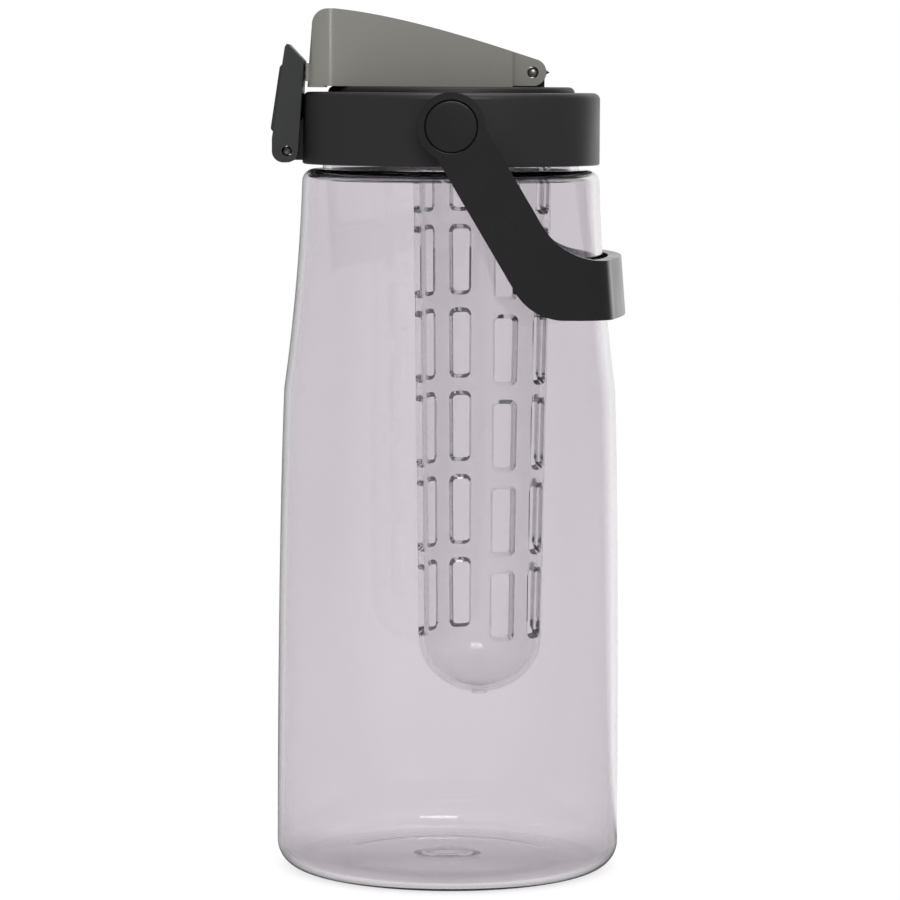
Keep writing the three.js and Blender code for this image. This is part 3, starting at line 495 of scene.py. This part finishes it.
spout = slab("spout", oval(SPOUT_X, 10.9, 13), DECK_UNDER, SPOUT_TOP, across="Z")
combine(insert, spout, "UNION")
bore = slab("bore", oval(SPOUT_X, 8.9, 11), DECK_UNDER - 1, SPOUT_TOP + 1, across="Z")
combine(insert, bore, "DIFFERENCE")
socket_profile = [(SOCKET_INSIDE, SOCKET_LOW), (SOCKET_OUTSIDE, SOCKET_LOW)]
socket_profile += [(SOCKET_OUTSIDE, SOCKET_HIGH), (SOCKET_INSIDE, SOCKET_HIGH)]
combine(insert, turned("socket", socket_profile, centre=(TUBE_X, 0), ends="ring"), "UNION")
for third in range(3):
    angle = LUG_TURN + 120 * third
    combine(insert, lug(CATCH_INSIDE, CATCH_OUTSIDE, angle, SOCKET_LOW, SOCKET_LOW + LUG_HEIGHT), "UNION")
lug_outline = [(-9, -5.7), (3.7, -5.7), (3.7, -1), (5.3, 0), (3.7, 1)] + arc((0, 0), 3.7, 30, 140, 14)
lug_outline = [(HINGE_X + x, HINGE_Z + z) for x, z in lug_outline]
for near, far in ((-LUG_OUTER, -LUG_INNER), (LUG_INNER, LUG_OUTER)):
    combine(insert, slab("hinge_lug", lug_outline, near, far), "UNION")
combine(insert, bar("hinge_hole", HINGE_X, HINGE_Z, HINGE_HOLE, -16, 16, sides=32), "DIFFERENCE")
soften(insert, 0.3, segments=2, sharper_than=50)
finish(insert, "lid", "lid_insert")

# %% [markdown]
# ## Gasket, pins and pivots
# The gasket is a soft ring under the ceiling that seals on the rim. Steel pins carry the flip cap and the
# latch, cut from rod with a small chamfer. The handle's pivots are plastic buttons with a shallow crown.
# All are lathe work, along Z for the ring and along Y for the pins.

# %% Gasket and pins
gasket_edge = 0.5
gasket_low, gasket_high, gasket_in, gasket_out = 240, 241.9, 38.3, 42
gasket_profile = arc((gasket_out - gasket_edge, gasket_low + gasket_edge), gasket_edge, -90, 0, 4)
gasket_profile += arc((gasket_out - gasket_edge, gasket_high - gasket_edge), gasket_edge, 0, 90, 4)
gasket_profile += arc((gasket_in + gasket_edge, gasket_high - gasket_edge), gasket_edge, 90, 180, 4)
gasket_profile += arc((gasket_in + gasket_edge, gasket_low + gasket_edge), gasket_edge, 180, 270, 4)
gasket = turned("gasket", gasket_profile, ends="ring")
finish(gasket, "seal_ring", "lid_gasket")
cap_pin = bar("cap_pin", HINGE_X, HINGE_Z, 1.5, -18.6, 18.6, sides=40, edge=1.2)
finish(cap_pin, "lid", "cap_hinge_pin", smooth=50)
latch_pin = bar("latch_pin", LATCH_X, LATCH_Z, 1.3, -9, 9, sides=36, edge=0.35)
finish(latch_pin, "lid", "latch_hinge_pin", smooth=50)

# %% Pivot buttons
ARM_INSIDE, ARM_OUTSIDE = 48.2, 53.2
HEAD_RADIUS, HEAD_HEIGHT, SHANK_RADIUS, SHANK_END = 7.9, 1.8, 4, 44.1

button = [(0.5, SHANK_END), (SHANK_RADIUS - 0.3, SHANK_END), (SHANK_RADIUS, SHANK_END + 0.3)]
button += [(SHANK_RADIUS, ARM_OUTSIDE - HEAD_HEIGHT), (HEAD_RADIUS, ARM_OUTSIDE - HEAD_HEIGHT)]
button += arc((HEAD_RADIUS - 0.5, ARM_OUTSIDE - 0.6), 0.5, 0, 80, 6)
button += [(HEAD_RADIUS - 1.4, ARM_OUTSIDE), (0.5, ARM_OUTSIDE)]
for node, side in (("handle_pivot_front", -1), ("handle_pivot_rear", 1)):
    pivot = turned(node, [(r, side * y) for r, y in button], sides=96, centre=(0, PIVOT_HEIGHT), along="Y")
    finish(pivot, "lid", node)

# %% [markdown]
# ## The flip cap
# The grey cap is a wedge: a tall round-cornered front over the spout, a crest, and a long slope down to
# two ears on the hinge pin. Its side outline is carried across and cut to its plan by a Boolean, the way
# a block is sawn twice. The outside edges are rounded before the inside is hollowed, so the wall stays even.

# %% Flip cap block
CAP_FRONT, CAP_LIP, CAP_HALF, CAP_WALL = 70.6, 0.7, 20, 2
EAR_RADIUS, EAR_OUTSIDE, EAR_INSIDE, EAR_LENGTH = 4.2, 18.6, 15.5, 6.4
CAP_HEIGHT, CAP_SLOPE, CAP_STRAIGHT = 19.5, 0.318, 9.2
CREST_X, CREST_SLOPE = -62, 0.09
CAP_CORNER, CAP_RAKE, LIP_HALF = 5, 1.5, 13
CAP_LOW, CAP_UNDER, DECK_EDGE = -5, -4.57, -65.2


def at_hinge(points):
    return [(HINGE_X + x, HINGE_Z + z) for x, z in points]


def cap_side(wall):
    """Side outline of the cap from its pin, set in by a wall."""
    tilt = math.atan(CAP_SLOPE)
    end = (EAR_RADIUS * math.sin(tilt), EAR_RADIUS * math.cos(tilt) - wall)
    start = (end[0] - CAP_STRAIGHT, end[1] + CAP_STRAIGHT * CAP_SLOPE)
    crest = (CREST_X, CAP_HEIGHT - wall)
    rise = crest[1] - start[1] - CAP_SLOPE * (start[0] - crest[0])
    control_x = crest[0] - rise / (CAP_SLOPE - CREST_SLOPE)
    control = (control_x, crest[1] - CREST_SLOPE * (control_x - crest[0]))
    front = (-CAP_FRONT + CAP_RAKE + wall + CAP_CORNER, CAP_HEIGHT - wall - CAP_CORNER)
    base = [(-CAP_FRONT, CAP_LOW), (DECK_EDGE, CAP_LOW), (DECK_EDGE, CAP_UNDER)]
    base += [(-EAR_LENGTH, CAP_UNDER), (-EAR_LENGTH, -EAR_RADIUS)]
    if wall:
        base = [(-CAP_FRONT + wall, -2 * EAR_RADIUS)]
    back = [(end[0], base[-1][1]), end]
    return at_hinge(base + back + bow(start, control, crest, 28) + arc(front, CAP_CORNER, 90, 180, 14))


def cap_plan(wall, back, lip=CAP_LIP):
    """Plan outline of the cap with its round front corners, set in by a wall."""
    half, corner, front = CAP_HALF - wall, 10 - wall, -CAP_FRONT - lip + wall
    outline = [(back, -half), (back, half)] + arc((front + corner, half - corner), corner, 90, 180, 20)
    return [(HINGE_X + x, y) for x, y in outline + arc((front + corner, corner - half), corner, 180, 270, 20)]


cap = slab("cap", cap_side(0), -24, 24)
combine(cap, slab("cap_plan", cap_plan(0, -EAR_LENGTH, 0), 240, 280, across="Z"), "INTERSECT")
ears = slab("ears", cap_side(0), -EAR_OUTSIDE, EAR_OUTSIDE)
ear_room = box("ear_room", (HINGE_X - EAR_LENGTH - CAP_WALL, -30, 230), (HINGE_X + 10, 30, 290))
combine(ears, ear_room, "INTERSECT")
combine(ears, bar("ear_ends", HINGE_X, HINGE_Z, EAR_RADIUS, -EAR_OUTSIDE, EAR_OUTSIDE), "UNION")
combine(cap, ears, "UNION")
soften(cap, 0.65, segments=4, sharper_than=35)
front_x = HINGE_X - CAP_FRONT
lip_block = box("lip", (front_x - 1, -LIP_HALF, HINGE_Z - 3.1), (front_x + 4, LIP_HALF, HINGE_Z + 2.5))
combine(lip_block, slab("lip_plan", cap_plan(0, -EAR_LENGTH), 240, 280, across="Z"), "INTERSECT")
combine(cap, soften(lip_block, 0.3, segments=2), "UNION")

# %% Flip cap hollow and boss
hollow = slab("hollow", cap_side(CAP_WALL), -24, 24)
hollow_plan = cap_plan(CAP_WALL + CAP_LIP, -EAR_LENGTH - CAP_WALL)
combine(hollow, slab("hollow_plan", hollow_plan, 230, 280, across="Z"), "INTERSECT")
combine(cap, hollow, "DIFFERENCE")
notch = box("notch", (HINGE_X - EAR_LENGTH - CAP_WALL - 1, -EAR_INSIDE, 240), (HINGE_X + 9, EAR_INSIDE, 290))
combine(cap, notch, "DIFFERENCE")
plug_boss = turned("plug_boss", [(5.2, 266.2), (5.2, 271.5)], sides=48, centre=(SPOUT_X, 0))
stem_hole = turned("stem_hole", [(2.8, 265), (2.8, 268.3)], sides=48, centre=(SPOUT_X, 0))
combine(plug_boss, stem_hole, "DIFFERENCE")
combine(plug_boss, slab("roof", cap_side(1), -24, 24), "INTERSECT")
combine(cap, plug_boss, "UNION")
combine(cap, bar("pin_hole", HINGE_X, HINGE_Z, HINGE_HOLE, -24, 24, sides=40), "DIFFERENCE")
finish(cap, "flip_cap", "flip_cap")

# %% [markdown]
# ## The spout plug
# A soft silicone disc with a shallow plug presses on the spout when the cap is shut, and its stem is
# pushed up into the cap. Three oval slabs make it, with rounded edges as silicone has.

# %% Spout plug
plug = soften(slab("plug", oval(SPOUT_X, 12.1, 14.2), 262.9, 265.9, across="Z"), 0.7)
combine(plug, soften(slab("plug_end", oval(SPOUT_X, 8, 10.1), 260.9, 264, across="Z"), 0.6), "UNION")
stem = turned("stem", [(2.2, 267.7), (2.5, 267.4), (2.5, 265)], sides=48, centre=(SPOUT_X, 0))
combine(plug, stem, "UNION")
finish(plug, "flip_cap", "spout_plug")

# %% [markdown]
# ## The latch
# The latch is a narrow lever on a pin at its foot, with a pointed tip. The side outline is a slab whose
# edges are rounded. A thin thumb pad, a little narrower than the lever, lies on its outer face, and from
# the side one sees its edge as a dark sliver. A slot for the collar's lug, a pocket that saves plastic,
# and the pin's hole are then cut.

# %% Latch
LATCH_HALF, PAD_HALF = 12, 11.2
FOOT, LATCH_OUT = 3.6, 4.7


def at_latch(points):
    return [(LATCH_X + x, LATCH_Z + z) for x, z in points]


lever = arc((0, 0), FOOT, -90, 0, 10) + [(5.35, 27.7), (5.35, 28.2)]
lever += [(0.35, 33.5), (-0.1, 33.5), (-0.7, 32.6), (-1.5, 27.2), (-4.4, 6), (-LATCH_OUT, 4)]
lever += arc((FOOT - LATCH_OUT, 0), FOOT, 180, 270, 10)
latch = soften(slab("latch", at_latch(lever), -LATCH_HALF, LATCH_HALF), 0.45, segments=3, sharper_than=30)
pad_outline = [(-1.3, 26), (-1.5, 27.2), (-2.3, 26.3), (-5.1, 7.2), (-4.9, 6.6), (-4.2, 6)]
pad = soften(slab("pad", at_latch(pad_outline), -PAD_HALF, PAD_HALF), 0.25, segments=2, sharper_than=30)
combine(latch, pad, "UNION")
slot_low, slot_high = (LATCH_X - 3.3, -6.35, LATCH_Z - 9.4), (LATCH_X + 9.4, 6.35, LATCH_Z + 6.4)
combine(latch, box("slot", slot_low, slot_high), "DIFFERENCE")
pocket_low, pocket_high = (LATCH_X - 2.6, -9.4, LATCH_Z + 5.4), (LATCH_X + 9.4, 9.4, LATCH_Z + 18)
combine(latch, box("pocket", pocket_low, pocket_high), "DIFFERENCE")
combine(latch, bar("latch_bore", LATCH_X, LATCH_Z, LATCH_HOLE, -13, 13, sides=40), "DIFFERENCE")
finish(latch, "latch", "latch")

# %% [markdown]
# ## The bail handle
# Two flat arms hang from the pivots and bend level into a crossbar that lies along the body. Seen from the
# side it is one outline and seen from above another, so two slabs are crossed and what they share is kept.
# Its edges are well rounded for the hand, and each eye has a seat that the pivot's head sinks into.

# %% Handle blank
EYE_RADIUS = 10.4
ARM_HALF, ARM_ANGLE = 8.7, 59.3
BAR_TOP, BAR_HEIGHT, BAR_THICK, BAR_BOW = 40.7, 18.2, 4.2, 5
INNER_BEND, OUTER_BEND = 21.9, 17.6
BAR_OUTSIDE, CORNER, LEAN = 54.65, 12, 4.5
ARM_BACK, BLANK_END, BLANK_HALF = -21, 94, 60
SEAT_RADIUS, SEAT_FLOOR = 8.2, 51.1


def arm_side():
    """Side outline of an arm from the pivot: straight, then bent level into the crossbar."""
    sine, cosine = math.sin(math.radians(ARM_ANGLE)), math.cos(math.radians(ARM_ANGLE))
    inner_z, outer_z = -BAR_TOP + INNER_BEND, -BAR_TOP - BAR_HEIGHT + OUTER_BEND
    inner_x = (ARM_HALF + INNER_BEND - inner_z * cosine) / sine
    outer_x = (OUTER_BEND - ARM_HALF - outer_z * cosine) / sine
    outline = [(ARM_HALF * sine, ARM_HALF * cosine), (-ARM_HALF * sine, -ARM_HALF * cosine)]
    outline += arc((outer_x, outer_z), OUTER_BEND, 270 - ARM_ANGLE, 270, 20)
    outline += [(BLANK_END, -BAR_TOP - BAR_HEIGHT), (BLANK_END, -BAR_TOP)]
    return outline + arc((inner_x, inner_z), INNER_BEND, 270, 270 - ARM_ANGLE, 20)


def handle_plan():
    """Plan outline: two arms, round corners and a bowed crossbar."""
    ends, inner = BAR_OUTSIDE - BAR_BOW, CORNER - (ARM_OUTSIDE - ARM_INSIDE)
    bar_inside, inside_ends = BAR_OUTSIDE - BAR_THICK, ends - BAR_THICK

    def bowed(x, middle, half):
        return bow((x, -half), (2 * middle - x, 0), (x, half), 32)

    outline = [(ARM_BACK, -ARM_OUTSIDE)]
    outline += arc((ends - CORNER, CORNER - ARM_OUTSIDE), CORNER, -90, 0, 14)[:-1]
    outline += bowed(ends, BAR_OUTSIDE, ARM_OUTSIDE - CORNER)
    outline += arc((ends - CORNER, ARM_OUTSIDE - CORNER), CORNER, 0, 90, 14)[1:]
    outline += [(ARM_BACK, ARM_OUTSIDE), (ARM_BACK, ARM_INSIDE)]
    outline += arc((inside_ends - inner, ARM_INSIDE - inner), inner, 90, 0, 14)[:-1]
    outline += bowed(inside_ends, bar_inside, ARM_INSIDE - inner)[::-1]
    outline += arc((inside_ends - inner, inner - ARM_INSIDE), inner, 0, -90, 14)[1:]
    return outline + [(ARM_BACK, -ARM_INSIDE)]


handle = slab("handle", [(x, PIVOT_HEIGHT + z) for x, z in arm_side()], -BLANK_HALF, BLANK_HALF)
combine(handle, bar("eyes", 0, PIVOT_HEIGHT, EYE_RADIUS, -BLANK_HALF, BLANK_HALF, sides=96), "UNION")
band = slab("band", handle_plan(), -82, 82, across="Z")
band.rotation_euler = (0, math.radians(-LEAN), 0)
band.location = (0, 0, (PIVOT_HEIGHT - BAR_TOP - BAR_HEIGHT / 2) * MM)
start_clean()
band.select_set(True)
bpy.context.view_layer.objects.active = band
bpy.ops.object.transform_apply(location=True, rotation=True, scale=True)
combine(handle, band, "INTERSECT")
soften(handle, 1.1, segments=4, sharper_than=45)

# %% Handle eyes
combine(handle, bar("eye_bores", 0, PIVOT_HEIGHT, PIVOT_HOLE, -BLANK_HALF, BLANK_HALF), "DIFFERENCE")
for near, far in ((-BLANK_HALF, -SEAT_FLOOR), (SEAT_FLOOR, BLANK_HALF)):
    combine(handle, bar("seat", 0, PIVOT_HEIGHT, SEAT_RADIUS, near, far, sides=100), "DIFFERENCE")
soften(handle, 0.3, segments=2, sharper_than=60)
finish(handle, "handle", "handle")

# %% [markdown]
# ## Materials
# Every finish is a Principled shader with patterns in Object coordinates, whose sizes come from the real
# surface in millimetres. One function adds a node with its settings and links, and another turns the
# colours, written as on a paint card, into the linear values that Blender works with.

# %% Node and colour helpers


def linear(hexcode):
    """An sRGB hex colour as linear red, green, blue and alpha."""
    parts = [int(hexcode[i:i + 2], 16) / 255 for i in (1, 3, 5)]
    return [p / 12.92 if p <= 0.04045 else ((p + 0.055) / 1.055) ** 2.4 for p in parts] + [1]


def add_node(tree, kind, inputs=None, **settings):
    """A node with its settings, its values and its links."""
    node = tree.nodes.new(kind)
    for name, value in settings.items():
        setattr(node, name, value)
    for socket, value in (inputs or {}).items():
        if isinstance(value, bpy.types.NodeSocket):
            tree.links.new(value, node.inputs[socket])
        else:
            node.inputs[socket].default_value = value
    return node


def per_metre(size_mm):
    """The texture scale at which one cell of a pattern is this many millimetres wide."""
    return 1 / (size_mm * MM)


def blank_material(name):
    material = bpy.data.materials.new(name)
    material.use_nodes = True
    material.node_tree.nodes.clear()
    return material, material.node_tree


def show(tree, shader):
    add_node(tree, "ShaderNodeOutputMaterial", {"Surface": shader.outputs[0]})


# %% [markdown]
# ### Clear copolyester
# The jug and the infuser are clear copolyester, glossy from polished moulds. Thick walls bend the light
# behind them and mirror more of it at a glancing angle, which is what draws their edges. A faint violet
# grey is in the plastic, long shallow ripples come from blowing, and the gloss is a little uneven.

# %% Clear plastics


def clear_copolyester(name, tint, deeper, bend, clear, ripple_mm, ripple_depth_mm):
    material, tree = blank_material(name)
    place = add_node(tree, "ShaderNodeTexCoord").outputs["Object"]
    cloud = add_node(tree, "ShaderNodeTexNoise", {"Vector": place, "Scale": per_metre(60), "Detail": 2.0})
    tone = add_node(tree, "ShaderNodeMix", {
        "Factor": cloud.outputs["Fac"], "A": linear(tint), "B": linear(deeper)}, data_type="RGBA")
    haze = add_node(tree, "ShaderNodeMapRange", {
        "Value": cloud.outputs["Fac"], "To Min": 0.0, "To Max": 0.03})
    ripple = add_node(tree, "ShaderNodeTexNoise", {
        "Vector": place, "Scale": per_metre(ripple_mm), "Detail": 1.0})
    relief = add_node(tree, "ShaderNodeBump", {
        "Height": ripple.outputs["Fac"], "Distance": ripple_depth_mm * MM, "Strength": 1.0})
    shader = add_node(tree, "ShaderNodeBsdfPrincipled", {
        "Base Color": tone.outputs["Result"], "Roughness": haze.outputs["Result"], "IOR": bend,
        "Transmission Weight": clear, "Normal": relief.outputs["Normal"]})
    show(tree, shader)
    return material


jug_clear = clear_copolyester("copolyester_blow_moulded_clear", "#EBE7EB", "#E6E2E6",
                              bend=1.54, clear=1.0, ripple_mm=45, ripple_depth_mm=0.05)
tube_clear = clear_copolyester("copolyester_injection_moulded_clear", "#FCFCFC", "#F8F8F8",
                               bend=1.47, clear=0.97, ripple_mm=30, ripple_depth_mm=0.02)
print("Made", jug_clear.name, "and", tube_clear.name)

# %% [markdown]
# ### Moulded polypropylene
# Lid, handle, latch and flip cap are polypropylene from spark-eroded moulds: a satin face with a grain of
# about a tenth of a millimetre, drawn at half a millimetre here so that it shows. The colour drifts a
# little where the melt cooled, and rubbed places shine a little more.

# %% Satin plastics
GRAIN_MM = 0.5


def satin_polypropylene(name, colour, lighter, roughness, grain_depth_mm=0.004):
    material, tree = blank_material(name)
    place = add_node(tree, "ShaderNodeTexCoord").outputs["Object"]
    drift = add_node(tree, "ShaderNodeTexNoise", {"Vector": place, "Scale": per_metre(25), "Detail": 3.0})
    tone = add_node(tree, "ShaderNodeMix", {
        "Factor": drift.outputs["Fac"], "A": linear(colour), "B": linear(lighter)}, data_type="RGBA")
    grain = add_node(tree, "ShaderNodeTexNoise", {
        "Vector": place, "Scale": per_metre(GRAIN_MM), "Detail": 2.0})
    relief = add_node(tree, "ShaderNodeBump", {
        "Height": grain.outputs["Fac"], "Distance": grain_depth_mm * MM, "Strength": 0.6})
    rub = add_node(tree, "ShaderNodeMapRange", {
        "Value": drift.outputs["Fac"], "From Min": 0.3, "From Max": 0.7,
        "To Min": roughness - 0.05, "To Max": roughness + 0.05})
    shader = add_node(tree, "ShaderNodeBsdfPrincipled", {
        "Base Color": tone.outputs["Result"], "Roughness": rub.outputs["Result"], "IOR": 1.49,
        "Normal": relief.outputs["Normal"]})
    show(tree, shader)
    return material


collar_dark = satin_polypropylene("polypropylene_moulded_charcoal", "#262628", "#2A2A2C", 0.4)
insert_dark = satin_polypropylene("polypropylene_moulded_black", "#1C1C1D", "#202021", 0.5)
latch_dark = satin_polypropylene("polypropylene_moulded_slate", "#323333", "#363737", 0.42)
handle_dark = satin_polypropylene("polypropylene_moulded_graphite", "#1E1E1F", "#222223", 0.26)
cap_grey = satin_polypropylene("polypropylene_moulded_warm_grey", "#7D7C76", "#82817B", 0.22)
print("Made five satin plastics with a grain of", GRAIN_MM, "mm")

# %% [markdown]
# ### Silicone and steel
# The gasket and the plug are milky silicone: soft light goes a little way in, and the face is matt with
# a fine talc-like grain. The pins are ground stainless rod, with fine rings round them from the grinding.

# %% Silicone and steel materials
silicone, tree = blank_material("silicone_moulded_milky")
place = add_node(tree, "ShaderNodeTexCoord").outputs["Object"]
talc = add_node(tree, "ShaderNodeTexNoise", {"Vector": place, "Scale": per_metre(0.6), "Detail": 2.0})
milk = add_node(tree, "ShaderNodeMix", {
    "Factor": talc.outputs["Fac"], "A": linear("#C9C9C8"), "B": linear("#D6D6D5")}, data_type="RGBA")
dust = add_node(tree, "ShaderNodeBump", {
    "Height": talc.outputs["Fac"], "Distance": 0.01 * MM, "Strength": 0.5})
shader = add_node(tree, "ShaderNodeBsdfPrincipled", {
    "Base Color": milk.outputs["Result"], "Roughness": 0.6, "IOR": 1.41, "Subsurface Weight": 0.3,
    "Subsurface Scale": 0.002, "Normal": dust.outputs["Normal"]})
show(tree, shader)

steel, tree = blank_material("stainless_steel_ground")
place = add_node(tree, "ShaderNodeTexCoord").outputs["Object"]
rings = add_node(tree, "ShaderNodeTexWave", {
    "Vector": place, "Scale": per_metre(0.4) / 20, "Distortion": 1.5}, bands_direction="Y")
shine = add_node(tree, "ShaderNodeMapRange", {"Value": rings.outputs["Fac"], "To Min": 0.32, "To Max": 0.44})
sheen = add_node(tree, "ShaderNodeMix", {
    "Factor": rings.outputs["Fac"], "A": linear("#B9B8B5"), "B": linear("#CBCAC7")}, data_type="RGBA")
shader = add_node(tree, "ShaderNodeBsdfPrincipled", {
    "Base Color": sheen.outputs["Result"], "Metallic": 1.0, "Roughness": shine.outputs["Result"]})
show(tree, shader)

finishes = {
    "visual_bottle_body": jug_clear, "visual_infuser_tube": tube_clear, "visual_lid_collar": collar_dark,
    "visual_lid_insert": insert_dark, "visual_lid_gasket": silicone, "visual_spout_plug": silicone,
    "visual_cap_hinge_pin": steel, "visual_latch_hinge_pin": steel, "visual_flip_cap": cap_grey,
    "visual_latch": latch_dark, "visual_handle": handle_dark, "visual_handle_pivot_front": handle_dark,
    "visual_handle_pivot_rear": handle_dark,
}
for piece_name, material in finishes.items():
    mesh = bpy.data.objects[piece_name].data
    mesh.materials.clear()
    mesh.materials.append(material)
print("Dressed", len(finishes), "pieces")

# %% [markdown]
# ## Floor, backdrop and light
# The jug stands on a white sweep. The camera sees plain white, and the floor keeps a soft shadow. Under the
# jug a painted shadow is added: there the floor glows less, so more of its real shade shows. What glossy
# plastic mirrors is painted into the glow of the world and the floor as in a studio: dim on the camera's
# side, a dark card on the left that draws the clear edge, and a bright card behind on the right. No card
# stands in the scene. Light that comes through the clear plastic is painted the same way, white before and
# behind the jug and greyer at its two sides, so strongly bent edges turn grey.

# %% Mirrored surround
# The world and the floor glow with these levels for mirrored and bent rays. They are painted reflections of
# studio cards and a painted grey at the jug's sides, and no card stands in the scene.
FRONT_LEVEL, LEFT_CARD, RIGHT_CARD, SIDE_LEVEL = 0.12, 0.12, 1.03, 0.55
CARD_SPLIT, BEHIND_FROM, BEHIND_FULL = 0.04, 0.6, 0.75
GREY_UNTIL, WHITE_FROM = 0.1, 0.8


def mirrored(tree, way):
    """The painted reflection that a mirrored ray sees in a direction: dim ahead, dark left, bright at the
    right rear.
    """
    split = add_node(tree, "ShaderNodeSeparateXYZ", {0: way})
    card = add_node(tree, "ShaderNodeMapRange", {
        "Value": split.outputs["X"], "From Min": -CARD_SPLIT, "From Max": CARD_SPLIT,
        "To Min": LEFT_CARD, "To Max": RIGHT_CARD})
    behind = add_node(tree, "ShaderNodeMapRange", {
        "Value": split.outputs["Y"], "From Min": BEHIND_FROM, "From Max": BEHIND_FULL,
        "To Min": 0.0, "To Max": 1.0})
    return add_node(tree, "ShaderNodeMix", {
        "Factor": behind.outputs["Result"], "A": FRONT_LEVEL, "B": card.outputs["Result"]},
        data_type="FLOAT").outputs[0]


def seen_through(tree, way, white):
    """The painted level that a ray bent by clear plastic sees: white before and behind the jug, grey at its
    sides.
    """
    split = add_node(tree, "ShaderNodeSeparateXYZ", {0: way})
    straight = add_node(tree, "ShaderNodeMath", {0: split.outputs["Y"]}, operation="ABSOLUTE")
    return add_node(tree, "ShaderNodeMapRange", {
        "Value": straight.outputs[0], "From Min": GREY_UNTIL, "From Max": WHITE_FROM,
        "To Min": SIDE_LEVEL, "To Max": white}).outputs["Result"]


# %% Floor
FLOOR_SIZE, PAPER_WHITE = 12, 1.02
# SHADOW_CORE and SHADOW_EDGE, in mm from the jug's axis, bound a painted shadow under the jug: the floor's
# glow share is CORE_GLOW inside it and OPEN_GLOW in the open.
SHADOW_CORE, SHADOW_EDGE = 36, 56
CORE_GLOW, OPEN_GLOW = 0.36, 0.94
start_clean()
bpy.ops.mesh.primitive_plane_add(size=FLOOR_SIZE, location=(0, 0, -0.0002))
floor = bpy.context.object
floor.name = "floor"
floor_white, tree = blank_material("paper_sweep_white")
path = add_node(tree, "ShaderNodeLightPath")
spot = add_node(tree, "ShaderNodeTexCoord").outputs["Object"]
onward = add_node(tree, "ShaderNodeVectorMath", {0: spot}, operation="NORMALIZE")
mirror = mirrored(tree, onward.outputs["Vector"])
beyond = seen_through(tree, onward.outputs["Vector"], PAPER_WHITE)
level = add_node(tree, "ShaderNodeMix", {
    "Factor": path.outputs["Is Glossy Ray"], "A": PAPER_WHITE, "B": mirror}, data_type="FLOAT")
level = add_node(tree, "ShaderNodeMix", {
    "Factor": path.outputs["Is Transmission Ray"], "A": level.outputs[0], "B": beyond}, data_type="FLOAT")
seen = add_node(tree, "ShaderNodeMath", {
    0: path.outputs["Is Camera Ray"], 1: path.outputs["Is Transmission Ray"]}, operation="MAXIMUM")
seen = add_node(tree, "ShaderNodeMath", {
    0: seen.outputs[0], 1: path.outputs["Is Glossy Ray"]}, operation="MAXIMUM")
# Painted shadow: nearer the jug's axis than SHADOW_EDGE the floor glows less, so its shaded paper shows
# darker under the jug and through its base.
reach = add_node(tree, "ShaderNodeVectorMath", {0: spot}, operation="LENGTH")
under = add_node(tree, "ShaderNodeMapRange", {
    "Value": reach.outputs["Value"], "From Min": SHADOW_CORE * MM, "From Max": SHADOW_EDGE * MM,
    "To Min": CORE_GLOW, "To Max": OPEN_GLOW})
share = add_node(tree, "ShaderNodeMath", {
    0: seen.outputs[0], 1: under.outputs["Result"]}, operation="MULTIPLY")
paper = add_node(tree, "ShaderNodeBsdfDiffuse", {"Color": linear("#F4F4F4")})
glow = add_node(tree, "ShaderNodeEmission", {"Color": (1, 1, 1, 1), "Strength": level.outputs[0]})
mixed = add_node(tree, "ShaderNodeMixShader", {0: share.outputs[0], 1: paper.outputs[0], 2: glow.outputs[0]})
show(tree, mixed)
floor.data.materials.append(floor_white)

# %% World
world = bpy.data.worlds.new("studio_surround")
bpy.context.scene.world = world
world.use_nodes = True
tree = world.node_tree
tree.nodes.clear()
AMBIENT = 0.75
way = add_node(tree, "ShaderNodeTexCoord").outputs["Generated"]
mirror = mirrored(tree, way)
beyond = seen_through(tree, way, 1.0)
path = add_node(tree, "ShaderNodeLightPath")
level = add_node(tree, "ShaderNodeMix", {
    "Factor": path.outputs["Is Glossy Ray"], "A": AMBIENT, "B": mirror}, data_type="FLOAT")
level = add_node(tree, "ShaderNodeMix", {
    "Factor": path.outputs["Is Transmission Ray"], "A": level.outputs[0], "B": beyond}, data_type="FLOAT")
level = add_node(tree, "ShaderNodeMix", {
    "Factor": path.outputs["Is Camera Ray"], "A": level.outputs[0], "B": 1.0}, data_type="FLOAT")
sky = add_node(tree, "ShaderNodeBackground", {"Color": (1, 1, 1, 1), "Strength": level.outputs[0]})
add_node(tree, "ShaderNodeOutputWorld", {"Surface": sky.outputs[0]})
print("Floor of", FLOOR_SIZE, "m and a studio surround")

# %% [markdown]
# ## Lamps
# A softbox in front and one overhead light the whole jug. A third, a small strip at the left, draws the
# highlight on the flip cap's corner. Light linking keeps it to the cap, because the clear jug would mirror
# it as a white streak.

# %% Lamps


def softbox(name, place, aim, size, watts):
    data = bpy.data.lights.new(name, "AREA")
    data.shape = "RECTANGLE"
    data.size, data.size_y = size
    data.energy = watts
    lamp = bpy.data.objects.new(name, data)
    bpy.context.scene.collection.objects.link(lamp)
    lamp.location = place
    lamp.rotation_euler = (Vector(aim) - Vector(place)).to_track_quat("-Z", "Y").to_euler()
    return lamp


MIDDLE = (0, 0, 0.14)
strip = softbox("strip_left", (-0.65, -1.04, 0.36), (0, 0, 0.3), (0.07, 0.24), 0.8)
strip.light_linking.receiver_collection = bpy.data.collections.new("lit_by_strip")
strip.light_linking.receiver_collection.objects.link(bpy.data.objects["visual_flip_cap"])
softbox("front", (0.2, -1.4, 1.1), MIDDLE, (0.8, 0.5), 9)
softbox("top", (0.1, 0.1, 1.5), MIDDLE, (0.9, 0.9), 6)
print("Two softboxes, and a strip for the flip cap")

# %% [markdown]
# ## Finish
# The Standard view transform shows a colour about as it is written.

# %% Finish
bpy.context.scene.view_settings.view_transform = "Standard"
